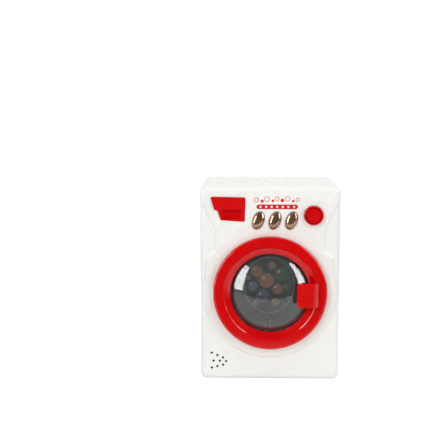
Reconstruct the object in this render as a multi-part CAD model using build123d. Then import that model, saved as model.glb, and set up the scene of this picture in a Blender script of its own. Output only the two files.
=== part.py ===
from build123d import *
from math import acos, atan, cos, degrees, hypot, pi, radians, sin, sqrt, tan
import os

# Toy washing machine with a front door. Millimetres, +Z up, the front faces -Y.
# The origin is the middle of the footprint, on the surface that the cabinet stands on.

# driving sizes
door_r = 57.9            # outer radius of the round door
pad_margin = 8.9         # raised pad round the door
pad_foot = 25.2          # lower edge of the pad above the floor
panel_h = 50.1           # from the top of the door to the top of the cabinet
side_margin = 4.2        # from the pad to the cabinet's side
case_d = 112.0           # depth over the raised front, Y

pad_r = door_r + pad_margin
drum_z = pad_foot + pad_r                # height of the door and drum axis
case_h = drum_z + door_r + panel_h       # 200 mm
case_w = 2 * (pad_r + side_margin)       # 142 mm

# cabinet
wall = 2.2               # moulded wall of both shells
case_corner_r = 6.0      # corners of the outline seen from the front
case_edge_r = 5.0        # rounding round the front and rear rims
pad_step = 2.5           # how far the scooped sides and foot lie behind the raised front
pad_slope = 2.2          # width of the soft slope between the two levels
rear_depth = 22.0        # depth of the rear shell
lip_h = 3.0              # register lip of the rear shell inside the front shell
lip_t = 1.1
fit_gap = 0.15           # easy fit between moulded pieces of the cabinet
y_front = -case_d / 2    # raised front face
y_low = y_front + pad_step
y_rear = case_d / 2
y_split = y_rear - rear_depth
y_panel = y_front + wall         # inner face behind the raised front
y_floor = y_low + wall           # inner face behind the scooped areas

# raised front outline: top panel, neck and round pad
neck_in = 12.5           # the neck's side lies this far inside the pad's side
neck_drop = 42.7         # from the cabinet's top to the upper end of the neck
neck_rise = 5.0          # from the shoulder to the lower end of the neck
shoulder_out = 5.2       # the shoulder below the neck stands out past the pad
shoulder_dir = 29.6      # its direction from the door's axis, degrees from +X to +Z
flank_drop = 8.8         # the slanted edges meet the cabinet's sides this far below the top
neck_x = pad_r - neck_in
neck_top_z = case_h - neck_drop
shoulder_x = (pad_r + shoulder_out) * cos(radians(shoulder_dir))
shoulder_z = drum_z + (pad_r + shoulder_out) * sin(radians(shoulder_dir))
neck_low_z = shoulder_z + neck_rise

# door
door_gap = 0.4           # between the closed door and the pad
door_h = 8.5             # front of the ring above the pad
door_rim_r = 2.5
door_skin = 2.0
ring_w = 17.45           # from the ring's outside to the window
band_w = 10.2            # flat outer band of the ring
slope_w = 3.8            # slope between the band's step and the window
band_h = 8.0
step_h = 6.9
slope_h = 6.2
lip_front_h = 4.2
dome_gap = 0.4           # between the ring and the foot of the clear dome
dome_apex_h = 19.0
dome_t = 1.6
dome_flange_w = 3.6
dome_flange_t = 1.5
liner_t = 1.5
door_screw_in = 6.9      # screws of the liner, from the ring's outside
door_boss_r = 2.5
door_open_deg = 100

# hinge at the left of the door, hidden behind the ring
hinge_in = 3.5           # hinge axis inside the ring's left edge
hinge_h = 4.8            # hinge axis in front of the pad
pin_r = 1.0
pin_gap = 0.05           # running fit of the pin
pin_len = 26.0
knuckle_r = 2.3
knuckle_len = 10.0
knuckle_gap = 0.4
heel_r = 4.15            # the ring's rounded heel about the hinge axis
neck_t = 2.6             # web that carries the shell's knuckle

# handle bridging the ring and the dome
handle_over = 13.6       # how far the handle reaches over the window
handle_root = 5.5        # and how far over the ring, from the foot of its slope
handle_half = 12.2
handle_front_h = 18.4
handle_t = 3.0
handle_corner_r = 3.0
peg_r = 1.5

# latch tongue on the liner and its spring leaf in the cabinet
tongue_t = 2.0
tongue_w = 8.0
tongue_reach = 6.5       # behind the liner
tongue_bump = 0.8
slot_gap = 1.0
leaf_t = 0.5

band_r = door_r - band_w
lip_r = door_r - ring_w
slope_r = lip_r + slope_w
dome_r = lip_r - dome_gap
dome_flange_r = dome_r + dome_flange_w
liner_r = dome_r - dome_gap
door_screw_r = door_r - door_screw_in
hinge_x = -(door_r - hinge_in)
handle_x0, handle_x1 = lip_r - handle_over, slope_r + handle_root
tongue_x = door_screw_r - 0.6

# drum and tub
mouth_gap = 2.0          # hole in the front shell, round the foot of the dome
drum_gap = 0.8           # between that hole and the drum
drum_wall = 1.8
drum_inset = 5.0         # drum's front edge behind the raised front
drum_depth = 32.0
fin_count = 3
fin_h = 9.0
fin_t = 4.0
tub_gap = 1.4            # between drum and tub
tub_wall = 2.0
tub_back_gap = 4.2       # from the drum's back to the tub's
tub_hub_r = 7.0
tub_hub_len = 10.0
bush_r = 4.0
bush_flange_r = 5.6
bush_flange_t = 1.0
axle_r = 2.0
run_gap = 0.05           # radial running fit of every shaft
end_gap = 0.4            # end play beside every turning piece
card_w, card_h = 54.0, 61.5      # oval picture plate in the drum
card_t = 1.2
card_rim = 1.4
lug_out = 7.4            # lugs' screws outside the tub's wall
lug_r = 3.6
lug_t = 2.2
boss_h = 6.8             # bosses behind the raised front that take the tub's lugs
mouth_r = dome_r + mouth_gap
drum_r = mouth_r - drum_gap
drum_front_y = y_front + drum_inset
drum_back_y = drum_front_y + drum_depth  # inner face of the drum's back
tub_back_y = drum_back_y + drum_wall + tub_back_gap
hub_end_y = tub_back_y + tub_hub_len
tub_in = drum_r + tub_gap
tub_r = tub_in + tub_wall
tub_screw_r = tub_r + lug_out

# gear train
module = 1.0
pressure_deg = 25.0
addendum = 0.8           # in modules
dedendum = 1.15
backlash = 0.24
drum_teeth = 40
idler_small_teeth = 10
idler_big_teeth = 30
pinion_teeth = 10
gear_t = 6.0
big_t = 4.5
mesh_slack = 0.08        # added to each centre distance
idler_dir = 60.0         # direction of the idler from the drum, degrees from +X to +Z
motor_dir = 90.0         # direction of the motor from the idler
idler_axle_r = 1.5
motor_shaft_r = 1.0
motor_r = 10.0
motor_flat = 15.4        # across the flats of the can
motor_len = 25.0
plate_t = 2.0
post_r = 3.2

# detergent drawer
drawer_left, drawer_down = 10.6, 10.5    # its upper left corner from the cabinet's side and top
drawer_shape = [(3.9, -12.9), (7.1, -13.7), (10.4, -23.4), (34.3, -24.9), (34.9, -0.6), (0.0, 0.0)]
drawer_gap = 0.35
ledge_down = 12.6        # step below the smooth upper half
drawer_proud = 0.8       # lower half in front of the panel
drawer_bulge = 2.6       # the upper half at its fullest
drawer_front_t = 4.4
recess_in0, recess_in1 = 12.4, 29.4   # finger recess under the ledge, from the corner
recess_down = 22.0
recess_depth = 3.4
tray_in0, tray_w = 12.2, 21.0
tray_down, tray_h = 4.1, 18.0
tray_len = 40.0
tray_wall = 1.4
drawer_travel = 28.0
guide_gap = 0.3
guide_wall = 1.4

drawer_x, drawer_z = -case_w / 2 + drawer_left, case_h - drawer_down
drawer_outline = [(drawer_x + dx, drawer_z + dz) for dx, dz in drawer_shape]
drawer_ledge_z = drawer_z - ledge_down
recess_x0, recess_x1 = drawer_x + recess_in0, drawer_x + recess_in1
recess_z0 = drawer_z - recess_down
tray_x0 = drawer_x + tray_in0
tray_x1 = tray_x0 + tray_w
tray_z1 = drawer_z - tray_down
tray_z0 = tray_z1 - tray_h

# buttons
oval_x0, oval_pitch = -12.1, 16.85
oval_up = 15.8           # row of ovals above the top of the door
oval_round = 1.05        # the ball that rounds their faces, against their outline
oval_long, oval_short = 18.8, 11.6
oval_tilt = 20.0         # the top of each oval leans to the right
oval_edge = 0.9          # straight edge in front of the panel
oval_dome = 3.6
start_in, start_up = 27.2, 21.3   # from the cabinet's side, and above the top of the door
start_r = 9.75
start_proud = 5.0
start_edge_r = 1.4
button_gap = 0.35
button_travel = 1.5
button_skin = 1.6
flange_w = 1.3
flange_t = 1.4
stem_r = 1.5
spring_mean_r = 2.5
spring_wire = 0.6
spring_turns = 3.5
seat_depth = 0.8         # well that centres each spring on the carrier
carrier_gap = 6.0        # from the panel's inner face to the button carrier
carrier_t = 2.8
board_t = 1.6
tact_w = 6.0
tact_body = 3.2
tact_plunger = 1.5
tact_plunger_r = 1.6
board_post_r = 3.0
carrier_y = y_panel + carrier_gap
oval_xs = [oval_x0 + k * oval_pitch for k in range(3)]
oval_z = drum_z + door_r + oval_up
start_x, start_z = case_w / 2 - start_in, drum_z + door_r + start_up
board_posts = [(oval_xs[0] - 7.4, oval_z - 12.3), (oval_xs[0] - 5.9, oval_z + 18.9),
               (oval_xs[2] + 11.8, oval_z - 11.8), (start_x + 13.5, start_z + 13.9)]
carrier_box = (board_posts[0][0] - 4.0, board_posts[0][1] - 4.0,
               board_posts[3][0] + 4.0, board_posts[3][1] + 4.0)      # x0, z0, x1, z1

# speaker
speaker_in, speaker_z = 18.0, 19.4    # from the cabinet's side and floor
speaker_r = 12.4
speaker_t = 5.0
magnet_r = 7.5
magnet_t = 3.5
hole_r = 1.22
tip_dx, tip_dz = 8.2, -0.5       # tip of the arrow of holes from the speaker's middle
arm_start = (-3.2, 3.8)
arm_step = (-5.75, 2.45, 1.6)     # x step, rise of the upper arm, fall of the lower arm
inner_dx = (-6.4, -12.9)
speaker_x = -case_w / 2 + speaker_in

# rear side
case_screw_in, case_screw_up = 8.5, 19.0   # from the cabinet's sides, and from its floor and top
case_post_r = 4.2
case_boss_len = 14.0
screw_seat = 6.0         # how deep the heads' seats lie from the shells' joint
case_screw_x = case_w / 2 - case_screw_in
case_screw_zs = [case_screw_up, case_h / 2, case_h - case_screw_up]
cell_r, cell_len = 7.1, 50.5
cell_pitch = 15.2
cell_z = 18.6            # lower cell
cell_in = 9.8            # cells' axes in front of the rear face
cell_y = y_rear - cell_in
bay_x = 29.6             # half length of the battery bay inside
bay_wall = 1.6
cover_t = 2.0
cover_gap = 0.3
cover_lift = 25.0
switch_x, switch_z = 0.0, 60.0
slider_travel = 4.0
slider_w, slider_h = 5.0, 3.4
vent_count = 7
vent_pitch = 6.0
vent_w, vent_h = 2.4, 34.0
vent_up = 28.7           # middle of the vents above the drum's axis
vent_z = drum_z + vent_up

os.makedirs("parts", exist_ok=True)


def front_plane(y):
    # x to the right and z up, as seen from the front
    return Plane(origin=(0, y, 0), x_dir=(1, 0, 0), z_dir=(0, -1, 0))


def slab(sketch, y0, y1):
    # a front-view sketch made solid from y0 back to y1
    return extrude(front_plane(y1) * sketch, amount=y1 - y0)


def turned(points, x=0.0, z=0.0):
    # a closed (radius, y) outline turned about an axis along Y
    return Pos(x, 0, z) * revolve(Polygon(*points, align=None), Axis.Y)


def rod(r, y0, y1, x=0.0, z=0.0):
    return slab(Pos(x, z) * Circle(r), y0, y1)


def bar(x0, x1, y0, y1, z0, z1):
    return Pos((x0 + x1) / 2, (y0 + y1) / 2, (z0 + z1) / 2) * Box(x1 - x0, y1 - y0, z1 - z0)


def polar(r, deg):
    return r * cos(radians(deg)), drum_z + r * sin(radians(deg))


def save(name, *solids):
    shape = solids[0] if len(solids) == 1 else Compound(children=list(solids))
    shape.label = name
    export_step(shape, f"parts/{name}.step")


# cabinet shells
def near(sketch, x, z, r):
    return [v for v in sketch.vertices() if hypot(abs(v.X) - x, v.Y - z) < r]


def pad_sketch():
    # the edge runs down from the shoulder as a tangent of the round pad
    touch = polar(pad_r, shoulder_dir - degrees(acos(pad_r / (pad_r + shoulder_out))))
    flank_x = case_w / 2 + 8
    rise = (case_h - flank_drop - neck_top_z) / (case_w / 2 - neck_x)
    half = [(flank_x, neck_top_z + rise * (flank_x - neck_x)), (neck_x, neck_top_z), (neck_x, neck_low_z),
            (shoulder_x, shoulder_z), touch]
    left = [(-x, z) for x, z in reversed(half)]
    sketch = make_face(
        Polyline((flank_x, case_h + 20), *half) + ThreePointArc(half[-1], (0, drum_z - pad_r), left[0])
        + Polyline(*left, (-flank_x, case_h + 20), (flank_x, case_h + 20)))
    sketch = fillet(near(sketch, shoulder_x, shoulder_z, 0.5), 5.0)
    sketch = fillet(near(sketch, neck_x, neck_low_z, 0.5), 6.0)
    return fillet(near(sketch, neck_x, neck_top_z, 0.5), 8.0)


def case_skin(inset):
    outline = Pos(0, case_h / 2) * RectangleRounded(
        case_w - 2 * inset, case_h - 2 * inset, case_corner_r - inset)
    rim = case_edge_r - inset
    low = slab(outline, y_low + inset, y_rear - inset)
    low = fillet(low.faces().sort_by(Axis.Y)[0].edges(), rim)
    low = fillet(low.faces().sort_by(Axis.Y)[-1].edges(), rim)
    high = slab(outline, y_front + inset, y_low + 4 * pad_step)
    high = fillet(high.faces().sort_by(Axis.Y)[0].edges(), rim)
    if inset:
        raised = slab(offset(pad_sketch(), -inset), y_front, y_low + 4 * pad_step)
    else:
        slope = degrees(atan(pad_slope / pad_step))
        back = Plane(origin=(0, y_front, 0), x_dir=(-1, 0, 0), z_dir=(0, 1, 0))
        raised = extrude(back * pad_sketch(), amount=pad_step + 1.0, taper=-slope)
    return low + (high & raised)


outer = case_skin(0.0)
inner = case_skin(wall)
hollow_case = outer - inner
half_space = bar(-case_w, case_w, y_split, case_d, -10, case_h + 10)
front_shell = hollow_case - half_space
rear_shell = hollow_case & half_space

# openings in the front
front_shell -= rod(mouth_r, y_front - 5, y_floor + 5, 0, drum_z)


def drawer_sketch(grow):
    sketch = Polygon(*drawer_outline, align=None)
    sketch = fillet(sketch.vertices(), 1.2)
    return offset(sketch, grow) if grow else sketch


def oval_sketch(x, grow):
    return Pos(x, oval_z) * Rot(0, 0, -oval_tilt) * Ellipse(
        oval_short / 2 + grow, oval_long / 2 + grow)


def start_sketch(grow):
    return Pos(start_x, start_z) * Circle(start_r + grow)


front_shell -= slab(drawer_sketch(drawer_gap), y_front - 5, y_floor + 1)
for x in oval_xs:
    front_shell -= slab(oval_sketch(x, button_gap), y_front - 5, y_floor + 1)
front_shell -= slab(start_sketch(button_gap), y_front - 5, y_floor + 1)

# arrow of sound holes at the lower left
tip_x, tip_z = speaker_x + tip_dx, speaker_z + tip_dz
sound_holes = [(tip_x, tip_z)] + [(tip_x + dx, tip_z + 0.3) for dx in inner_dx]
for k in range(3):
    sound_holes.append((tip_x + arm_start[0] + k * arm_step[0],
                        tip_z + arm_start[1] + k * arm_step[1]))
    sound_holes.append((tip_x + arm_start[0] + k * arm_step[0],
                        tip_z - arm_start[1] - k * arm_step[2]))
front_shell -= slab(Sketch() + [Pos(x, z) * Circle(hole_r) for x, z in sound_holes],
                    y_low - 5, y_floor + 1)

# slot for the door's latch tongue
tongue_slot = bar(tongue_x - tongue_t / 2 - slot_gap, tongue_x + tongue_t / 2 + tongue_bump + slot_gap,
                  y_front - 3, y_floor + 3,
                  drum_z - tongue_w / 2 - slot_gap, drum_z + tongue_w / 2 + slot_gap)
front_shell -= tongue_slot

# hinge knuckle on the pad, with the pin's bore
hinge_y = y_front - hinge_h
k0, k1 = drum_z - knuckle_len / 2, drum_z + knuckle_len / 2
knuckle = Pos(hinge_x, hinge_y, drum_z) * Cylinder(knuckle_r, knuckle_len)
knuckle += bar(hinge_x - neck_t / 2, hinge_x + neck_t / 2, hinge_y, y_panel - 0.5, k0, k1)
knuckle -= Pos(hinge_x, hinge_y, drum_z) * Cylinder(pin_r + pin_gap, knuckle_len + 2)
front_shell += knuckle

# bosses behind the panel: tub lugs, button carrier
pilot_gap = 0.02
tub_screw_shank = 1.2
board_screw_shank = 1.0
boss_y = y_panel + boss_h
tub_spots = [polar(tub_screw_r, a) for a in (45, 135, 225, 315)]
for x, z in tub_spots:
    front_shell += rod(3.0, y_panel - 0.4, boss_y, x, z)
    front_shell -= rod(tub_screw_shank + pilot_gap, y_panel, boss_y + 1, x, z)
for x, z in board_posts:
    front_shell += rod(board_post_r, y_panel - 0.4, carrier_y, x, z)
    front_shell -= rod(board_screw_shank + pilot_gap, y_panel, carrier_y + 1, x, z)

# collar that centres the speaker
collar = rod(speaker_r + fit_gap + 1.4, y_floor - 0.4, y_floor + 3.0, speaker_x, speaker_z)
collar -= rod(speaker_r + fit_gap, y_floor - 1, y_floor + 4, speaker_x, speaker_z)
front_shell += collar
speaker_posts = [(speaker_x + 11.5, speaker_z + 12.5), (speaker_x - 9.5, speaker_z + 14.5)]
post_end = y_floor + speaker_t
for x, z in speaker_posts:
    front_shell += rod(2.4, y_floor - 0.4, post_end, x, z)
    front_shell -= rod(board_screw_shank + pilot_gap, y_floor, post_end + 1, x, z)

# bosses for the case screws, on webs from the side walls
case_screw_shank = 1.25
inside_x = case_w / 2 - wall
for side in (-1, 1):
    for z in case_screw_zs:
        x = side * case_screw_x
        web0, web1 = sorted((x, side * (inside_x + 0.5)))
        boss = rod(case_post_r, y_split - case_boss_len, y_split, x, z)
        boss += bar(web0, web1, y_split - case_boss_len, y_split, z - 1.2, z + 1.2)
        front_shell += boss
        front_shell -= rod(case_screw_shank + pilot_gap, y_split - case_boss_len - 1, y_split + 1, x, z)
        post = rod(case_post_r, y_split, y_rear - 0.6, x, z)
        post += bar(web0, web1, y_split, y_rear - 0.6, z - 1.2, z + 1.2)
        rear_shell += post
        rear_shell -= rod(case_screw_shank + 0.3, y_split - 1, y_rear, x, z)
        rear_shell -= rod(case_post_r - 1.2, y_split + screw_seat, y_rear + 1, x, z)

# register lip of the rear shell
lip_outline = Pos(0, case_h / 2) * RectangleRounded(
    case_w - 2 * (wall + fit_gap), case_h - 2 * (wall + fit_gap), case_corner_r - wall - fit_gap)
lip_inner = Pos(0, case_h / 2) * RectangleRounded(
    case_w - 2 * (wall + fit_gap + lip_t), case_h - 2 * (wall + fit_gap + lip_t), 1.5)
lip = slab(lip_outline - lip_inner, y_split - lip_h, y_split + 0.8)
foot = slab(Pos(0, case_h / 2) * RectangleRounded(case_w - 1, case_h - 1, case_corner_r) - lip_inner,
            y_split, y_split + 0.8)
lip = lip + (foot & bar(-case_w, case_w, y_split, y_split + 0.8, 0.5, case_h - 0.5))
for side in (-1, 1):
    for z in case_screw_zs:
        x = side * case_screw_x
        web0, web1 = sorted((x, side * case_w))
        lip -= rod(case_post_r + fit_gap, y_split - lip_h - 1, y_split, x, z)
        lip -= bar(web0, web1, y_split - lip_h - 1, y_split, z - 1.2 - fit_gap, z + 1.2 + fit_gap)
rear_shell += lip

# ventilation slots high on the rear
for k in range(vent_count):
    x = (k - (vent_count - 1) / 2) * vent_pitch
    rear_shell -= slab(Pos(x, vent_z) * RectangleRounded(vent_w, vent_h, vent_w / 2 - 0.05),
                       y_rear - wall - 1, y_rear + 1)

# battery bay, open to the rear
bay_z0 = cell_z - cell_r - 0.5
bay_z1 = cell_z + cell_pitch + cell_r + 0.5
bay_y = cell_y - cell_r - 0.4
bay = bar(-bay_x - bay_wall, bay_x + bay_wall, bay_y - bay_wall, y_rear - 0.6,
          bay_z0 - bay_wall, bay_z1 + bay_wall)
rear_shell += bay
rear_shell -= bar(-bay_x, bay_x, bay_y, y_rear + 1, bay_z0, bay_z1)
cover_x, cover_z0, cover_z1 = bay_x + 2.4, bay_z0 - 2.4, bay_z1 + 2.4
cover_seat = y_rear - cover_t
rear_shell += bar(-cover_x - 1.4, cover_x + 1.4, cover_seat - 1.4, y_rear - 0.6, cover_z0 - 1.4,
                  cover_z1 + 1.4) - bar(-bay_x, bay_x, bay_y, y_rear + 1, bay_z0, bay_z1)
rear_shell -= bar(-cover_x, cover_x, cover_seat, y_rear + 1, cover_z0, cover_z1)
cover_screw = (0.0, bay_z1 + 6.2)
rear_shell += rod(3.4, cover_seat - 8, y_rear - 0.6, *cover_screw)
rear_shell -= rod(board_screw_shank + pilot_gap, cover_seat - 7, y_rear + 1, *cover_screw)
ear = Pos(*cover_screw) * Circle(4.4) + Pos(cover_screw[0], cover_screw[1] - 3) * Rectangle(8.8, 6)
rear_shell -= slab(ear, cover_seat, y_rear + 1)

# slot for the power slider
rear_shell -= slab(Pos(switch_x, switch_z) * Rectangle(
    slider_w + slider_travel + 2 * cover_gap, slider_h + 2 * cover_gap), y_rear - wall - 1, y_rear + 1)

save("front_shell", front_shell)
save("rear_shell", rear_shell)

# case screws
head_r, head_t = case_post_r - 1.6, 1.9


def screw(x, z, seat, shank_r, length, r, t):
    # pan-head screw driven from the rear: the head lies behind the seat
    return turned([(0, seat - length), (shank_r * 0.6, seat - length), (shank_r, seat - length + 1),
                   (shank_r, seat), (r, seat), (r, seat + t * 0.6), (r * 0.72, seat + t),
                   (0, seat + t)], x, z)


save("case_screws", *[screw(side * case_screw_x, z, y_split + screw_seat, case_screw_shank,
                            screw_seat + case_boss_len - 4, head_r, head_t)
                      for side in (-1, 1) for z in case_screw_zs])


# door
def at(h):
    # y of a height in front of the pad
    return y_front - h


def door_turn(face):
    # a face drawn as (radius, height above the pad), turned about the door's axis
    flipped = Plane(origin=(0, y_front, 0), x_dir=(1, 0, 0), z_dir=(0, 0, -1))
    return Pos(0, 0, drum_z) * revolve(flipped * face, Axis.Y)


# the ring: a rounded block whose rear channel is open except at the hinge
rim = door_rim_r
flange_back_h = door_gap + liner_t
flange_front_h = flange_back_h + dome_flange_t
inner_lip = [(band_r, band_h), (band_r - 1.2, step_h), (slope_r, slope_h), (lip_r, lip_front_h)]
envelope = door_turn(make_face(
    Polyline((lip_r, door_gap), (door_r, door_gap), (door_r, door_h - rim))
    + RadiusArc((door_r, door_h - rim), (door_r - rim, door_h), -rim)
    + Polyline((door_r - rim, door_h), *inner_lip, (lip_r, door_gap))))
channel = door_turn(make_face(Polyline(
    (lip_r - 1, door_gap - 1), (door_r - door_skin, door_gap - 1), (door_r - door_skin, door_h - rim - 0.4),
    (door_r - rim - 0.4, door_h - door_skin - 0.1), (band_r, band_h - door_skin),
    (band_r - 2.2, step_h - door_skin), (dome_flange_r + 0.3, flange_front_h + 0.1),
    (lip_r - 1, flange_front_h + 0.1), (lip_r - 1, door_gap - 1))))
hinge_half = 21.4
hinge_inner = hinge_x + 6.0
hinge_zone = bar(-door_r - 1, hinge_inner, at(20), y_front + 2, drum_z - hinge_half, drum_z + hinge_half)
door_ring = envelope - (channel - hinge_zone)

# screw bosses of the ring
door_spots = [polar(door_screw_r, a) for a in (40, 140, 220, 320)]
for x, z in door_spots:
    door_ring += rod(door_boss_r, at(band_h - 0.8), at(flange_back_h), x, z)
    door_ring -= rod(board_screw_shank + pilot_gap, at(band_h - 2.0), at(0), x, z)

# hinge: rounded heel, notch for the shell's knuckle, bore for the pin
axis_at = Pos(hinge_x, hinge_y, drum_z)
heel = bar(-door_r - 5, hinge_x, hinge_y, y_front + 5, drum_z - door_r / 2, drum_z + door_r / 2)
heel -= axis_at * Cylinder(heel_r, 2 * door_r)
door_ring -= heel
notch_half = knuckle_len / 2 + knuckle_gap
w = neck_t / 2 + knuckle_gap
swing = radians(door_open_deg - 90)
reach = door_r + hinge_x + 3
notch = Polygon((0, 0), (w, 0), (w, 9), (-reach, 9), (-reach, -reach * tan(swing) - w / cos(swing)),
                (0, -w / cos(swing)), align=None) + Circle(knuckle_r + knuckle_gap)
door_ring -= axis_at * Pos(0, 0, -notch_half) * extrude(notch, amount=2 * notch_half)
door_ring -= axis_at * Pos(0, 0, (pin_len - door_r) / 4) * Cylinder(pin_r + 0.02, (pin_len + door_r) / 2)
save("hinge_pin", axis_at * Cylinder(pin_r, pin_len))

# handle: a plate arching from the ring over the edge of the dome
h1 = handle_front_h
plate = make_face(
    Polyline((handle_x0, h1 - handle_t - 0.2), (handle_x0, h1 - 1.3))
    + ThreePointArc((handle_x0, h1 - 1.3), (handle_x0 + 8.6, h1), (handle_x1 - 7.2, h1 - 0.6))
    + ThreePointArc((handle_x1 - 7.2, h1 - 0.6), (handle_x1 - 2.7, h1 - 3.2), (handle_x1 - 0.8, h1 - 8.0))
    + Polyline((handle_x1 - 0.8, h1 - 8.0), (handle_x1, band_h - 1.0), (slope_r - 0.2, slope_h - 1.0),
               (slope_r - 0.9, h1 - handle_t - 4.0))
    + ThreePointArc((slope_r - 0.9, h1 - handle_t - 4.0), (slope_r - 2.1, h1 - handle_t - 1.3),
                    (slope_r - 4.6, h1 - handle_t - 0.2))
    + Polyline((slope_r - 4.6, h1 - handle_t - 0.2), (handle_x0, h1 - handle_t - 0.2)))
flat = Plane(origin=(0, y_front, drum_z - handle_half), x_dir=(1, 0, 0), z_dir=(0, 0, -1))
handle = extrude(flat * plate, amount=-2 * handle_half)
outline = Pos((handle_x0 + handle_x1 + 8) / 2, drum_z) * RectangleRounded(
    handle_x1 + 8 - handle_x0, 2 * handle_half, handle_corner_r)
handle = (handle & slab(outline, at(40), at(0))) - envelope
peg_x = slope_r + 2.2
for dz in (-6.5, 6.5):
    handle += rod(peg_r, at(slope_h + 3), at(flange_front_h + 0.2), peg_x, drum_z + dz)
    door_ring -= rod(peg_r + 0.05, at(slope_h + 8), at(0), peg_x, drum_z + dz)
save("door_ring", door_ring)
save("door_handle", handle)

# clear dome with its flange
foot_h = flange_front_h
cap = dome_apex_h - foot_h
ball = (dome_r**2 + cap**2) / (2 * cap)
mid_h = dome_apex_h - ball
inner_ball = ball - dome_t
inner_foot = sqrt(inner_ball**2 - (flange_back_h - mid_h) ** 2)


def on_ball(radius, r):
    return r, mid_h + sqrt(radius**2 - r**2)


dome = make_face(
    ThreePointArc((0, dome_apex_h), on_ball(ball, dome_r / 2), (dome_r, foot_h))
    + Polyline((dome_r, foot_h), (dome_flange_r, foot_h), (dome_flange_r, flange_back_h),
               (inner_foot, flange_back_h))
    + ThreePointArc((inner_foot, flange_back_h), on_ball(inner_ball, inner_foot / 2),
                    (0, dome_apex_h - dome_t))
    + Polyline((0, dome_apex_h - dome_t), (0, dome_apex_h)))
save("door_dome", door_turn(dome))

# liner that closes the ring and traps the dome, with the latch tongue
liner_edge = door_r - door_skin - fit_gap
liner = turned([(liner_r, at(door_gap)), (liner_edge, at(door_gap)), (liner_edge, at(flange_back_h)),
                (liner_r, at(flange_back_h))], 0, drum_z)
liner -= bar(-door_r, hinge_inner + fit_gap, at(5), y_front, drum_z - hinge_half - fit_gap,
             drum_z + hinge_half + fit_gap)
tongue_end = at(door_gap) + tongue_reach
tongue = Polygon((tongue_x - tongue_t / 2, at(door_gap) - 0.5), (tongue_x + tongue_t / 2, at(door_gap) - 0.5),
                 (tongue_x + tongue_t / 2, tongue_end - 2.2),
                 (tongue_x + tongue_t / 2 + tongue_bump, tongue_end - 1.3),
                 (tongue_x + tongue_t / 2, tongue_end), (tongue_x - tongue_t / 2 + 0.6, tongue_end),
                 (tongue_x - tongue_t / 2, tongue_end - 1), align=None)
liner += Pos(0, 0, drum_z - tongue_w / 2) * extrude(tongue, amount=tongue_w)
door_head_t = 0.8
for x, z in door_spots:
    liner -= rod(1.3, at(5), y_front, x, z)
    liner -= rod(2.3, at(door_gap + door_head_t), y_front, x, z)
save("door_liner", liner)
save("door_screws", *[screw(x, z, at(door_gap + door_head_t), board_screw_shank, 4.5, 2.1, door_head_t)
                      for x, z in door_spots])

# spring leaf that the tongue's bump rides past
leaf_x = tongue_x + tongue_t / 2 + tongue_bump + slot_gap + 1.6
leaf_y = y_panel
leaf_w = 6.0
leaf = Polygon((leaf_x, leaf_y), (leaf_x + 6, leaf_y), (leaf_x + 6, leaf_y + leaf_t),
               (leaf_x + leaf_t, leaf_y + leaf_t), (leaf_x + leaf_t, leaf_y + 3.2),
               (leaf_x - 1.3, leaf_y + 4.6), (leaf_x + leaf_t, leaf_y + 6.4), (leaf_x + leaf_t, leaf_y + 7.6),
               (leaf_x, leaf_y + 7.6), (leaf_x, leaf_y + 6.6), (leaf_x - 2.0, leaf_y + 4.6),
               (leaf_x, leaf_y + 3.0), align=None)
leaf = Pos(0, 0, drum_z - leaf_w / 2) * extrude(leaf, amount=leaf_w)
leaf_hole = (leaf_x + 4.0, drum_z)
leaf -= rod(board_screw_shank + pilot_gap, leaf_y - 1, leaf_y + 2, *leaf_hole)
save("catch_leaf", leaf)

# drum
drum_in = drum_r - drum_wall
hub_face_y = tub_back_y - bush_flange_t - end_gap
drum_skin_y = drum_back_y + drum_wall
drum = turned([
    (0, drum_back_y), (drum_in - 4, drum_back_y), (drum_in, drum_back_y - 4), (drum_in, drum_front_y),
    (drum_in + 0.5, drum_front_y - 0.6), (drum_r - 0.5, drum_front_y - 0.6), (drum_r, drum_front_y),
    (drum_r, drum_skin_y - 4), (drum_r - 4, drum_skin_y), (6.0, drum_skin_y), (6.0, hub_face_y),
    (0, hub_face_y)], 0, drum_z)
axle_y0 = drum_back_y + 1.0
drum -= rod(axle_r + 0.02, axle_y0, hub_face_y + 1, 0, drum_z)
fin = Polygon((-fin_t / 2, -drum_in - 0.6), (fin_t / 2, -drum_in - 0.6),
              (fin_t / 2 - 0.9, -drum_in + fin_h - 1),
              (fin_t / 2 - 1.6, -drum_in + fin_h), (1.6 - fin_t / 2, -drum_in + fin_h),
              (0.9 - fin_t / 2, -drum_in + fin_h - 1), align=None)
for k in range(fin_count):
    fin_turn = Pos(0, 0, drum_z) * Rot(0, k * 360 / fin_count, 0)
    drum += fin_turn * slab(fin, drum_front_y + 6, drum_back_y + 0.5)
card_pegs = [(-16.0, drum_z), (16.0, drum_z)]
for x, z in card_pegs:
    drum -= rod(peg_r + 0.05, drum_back_y - 1, drum_skin_y + 1, x, z)
save("drum", drum)

# oval picture plate with a thin rim, pegged to the drum's back
card = slab(Pos(0, drum_z) * Ellipse(card_w / 2, card_h / 2), drum_back_y - card_t, drum_back_y)
card_hoop = Ellipse(card_w / 2, card_h / 2) - Ellipse(card_w / 2 - card_rim, card_h / 2 - card_rim)
card += slab(Pos(0, drum_z) * card_hoop, drum_back_y - card_t - 0.9, drum_back_y)
for x, z in card_pegs:
    card += rod(peg_r, drum_back_y - 0.5, drum_skin_y, x, z)
save("picture_plate", card)

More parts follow.
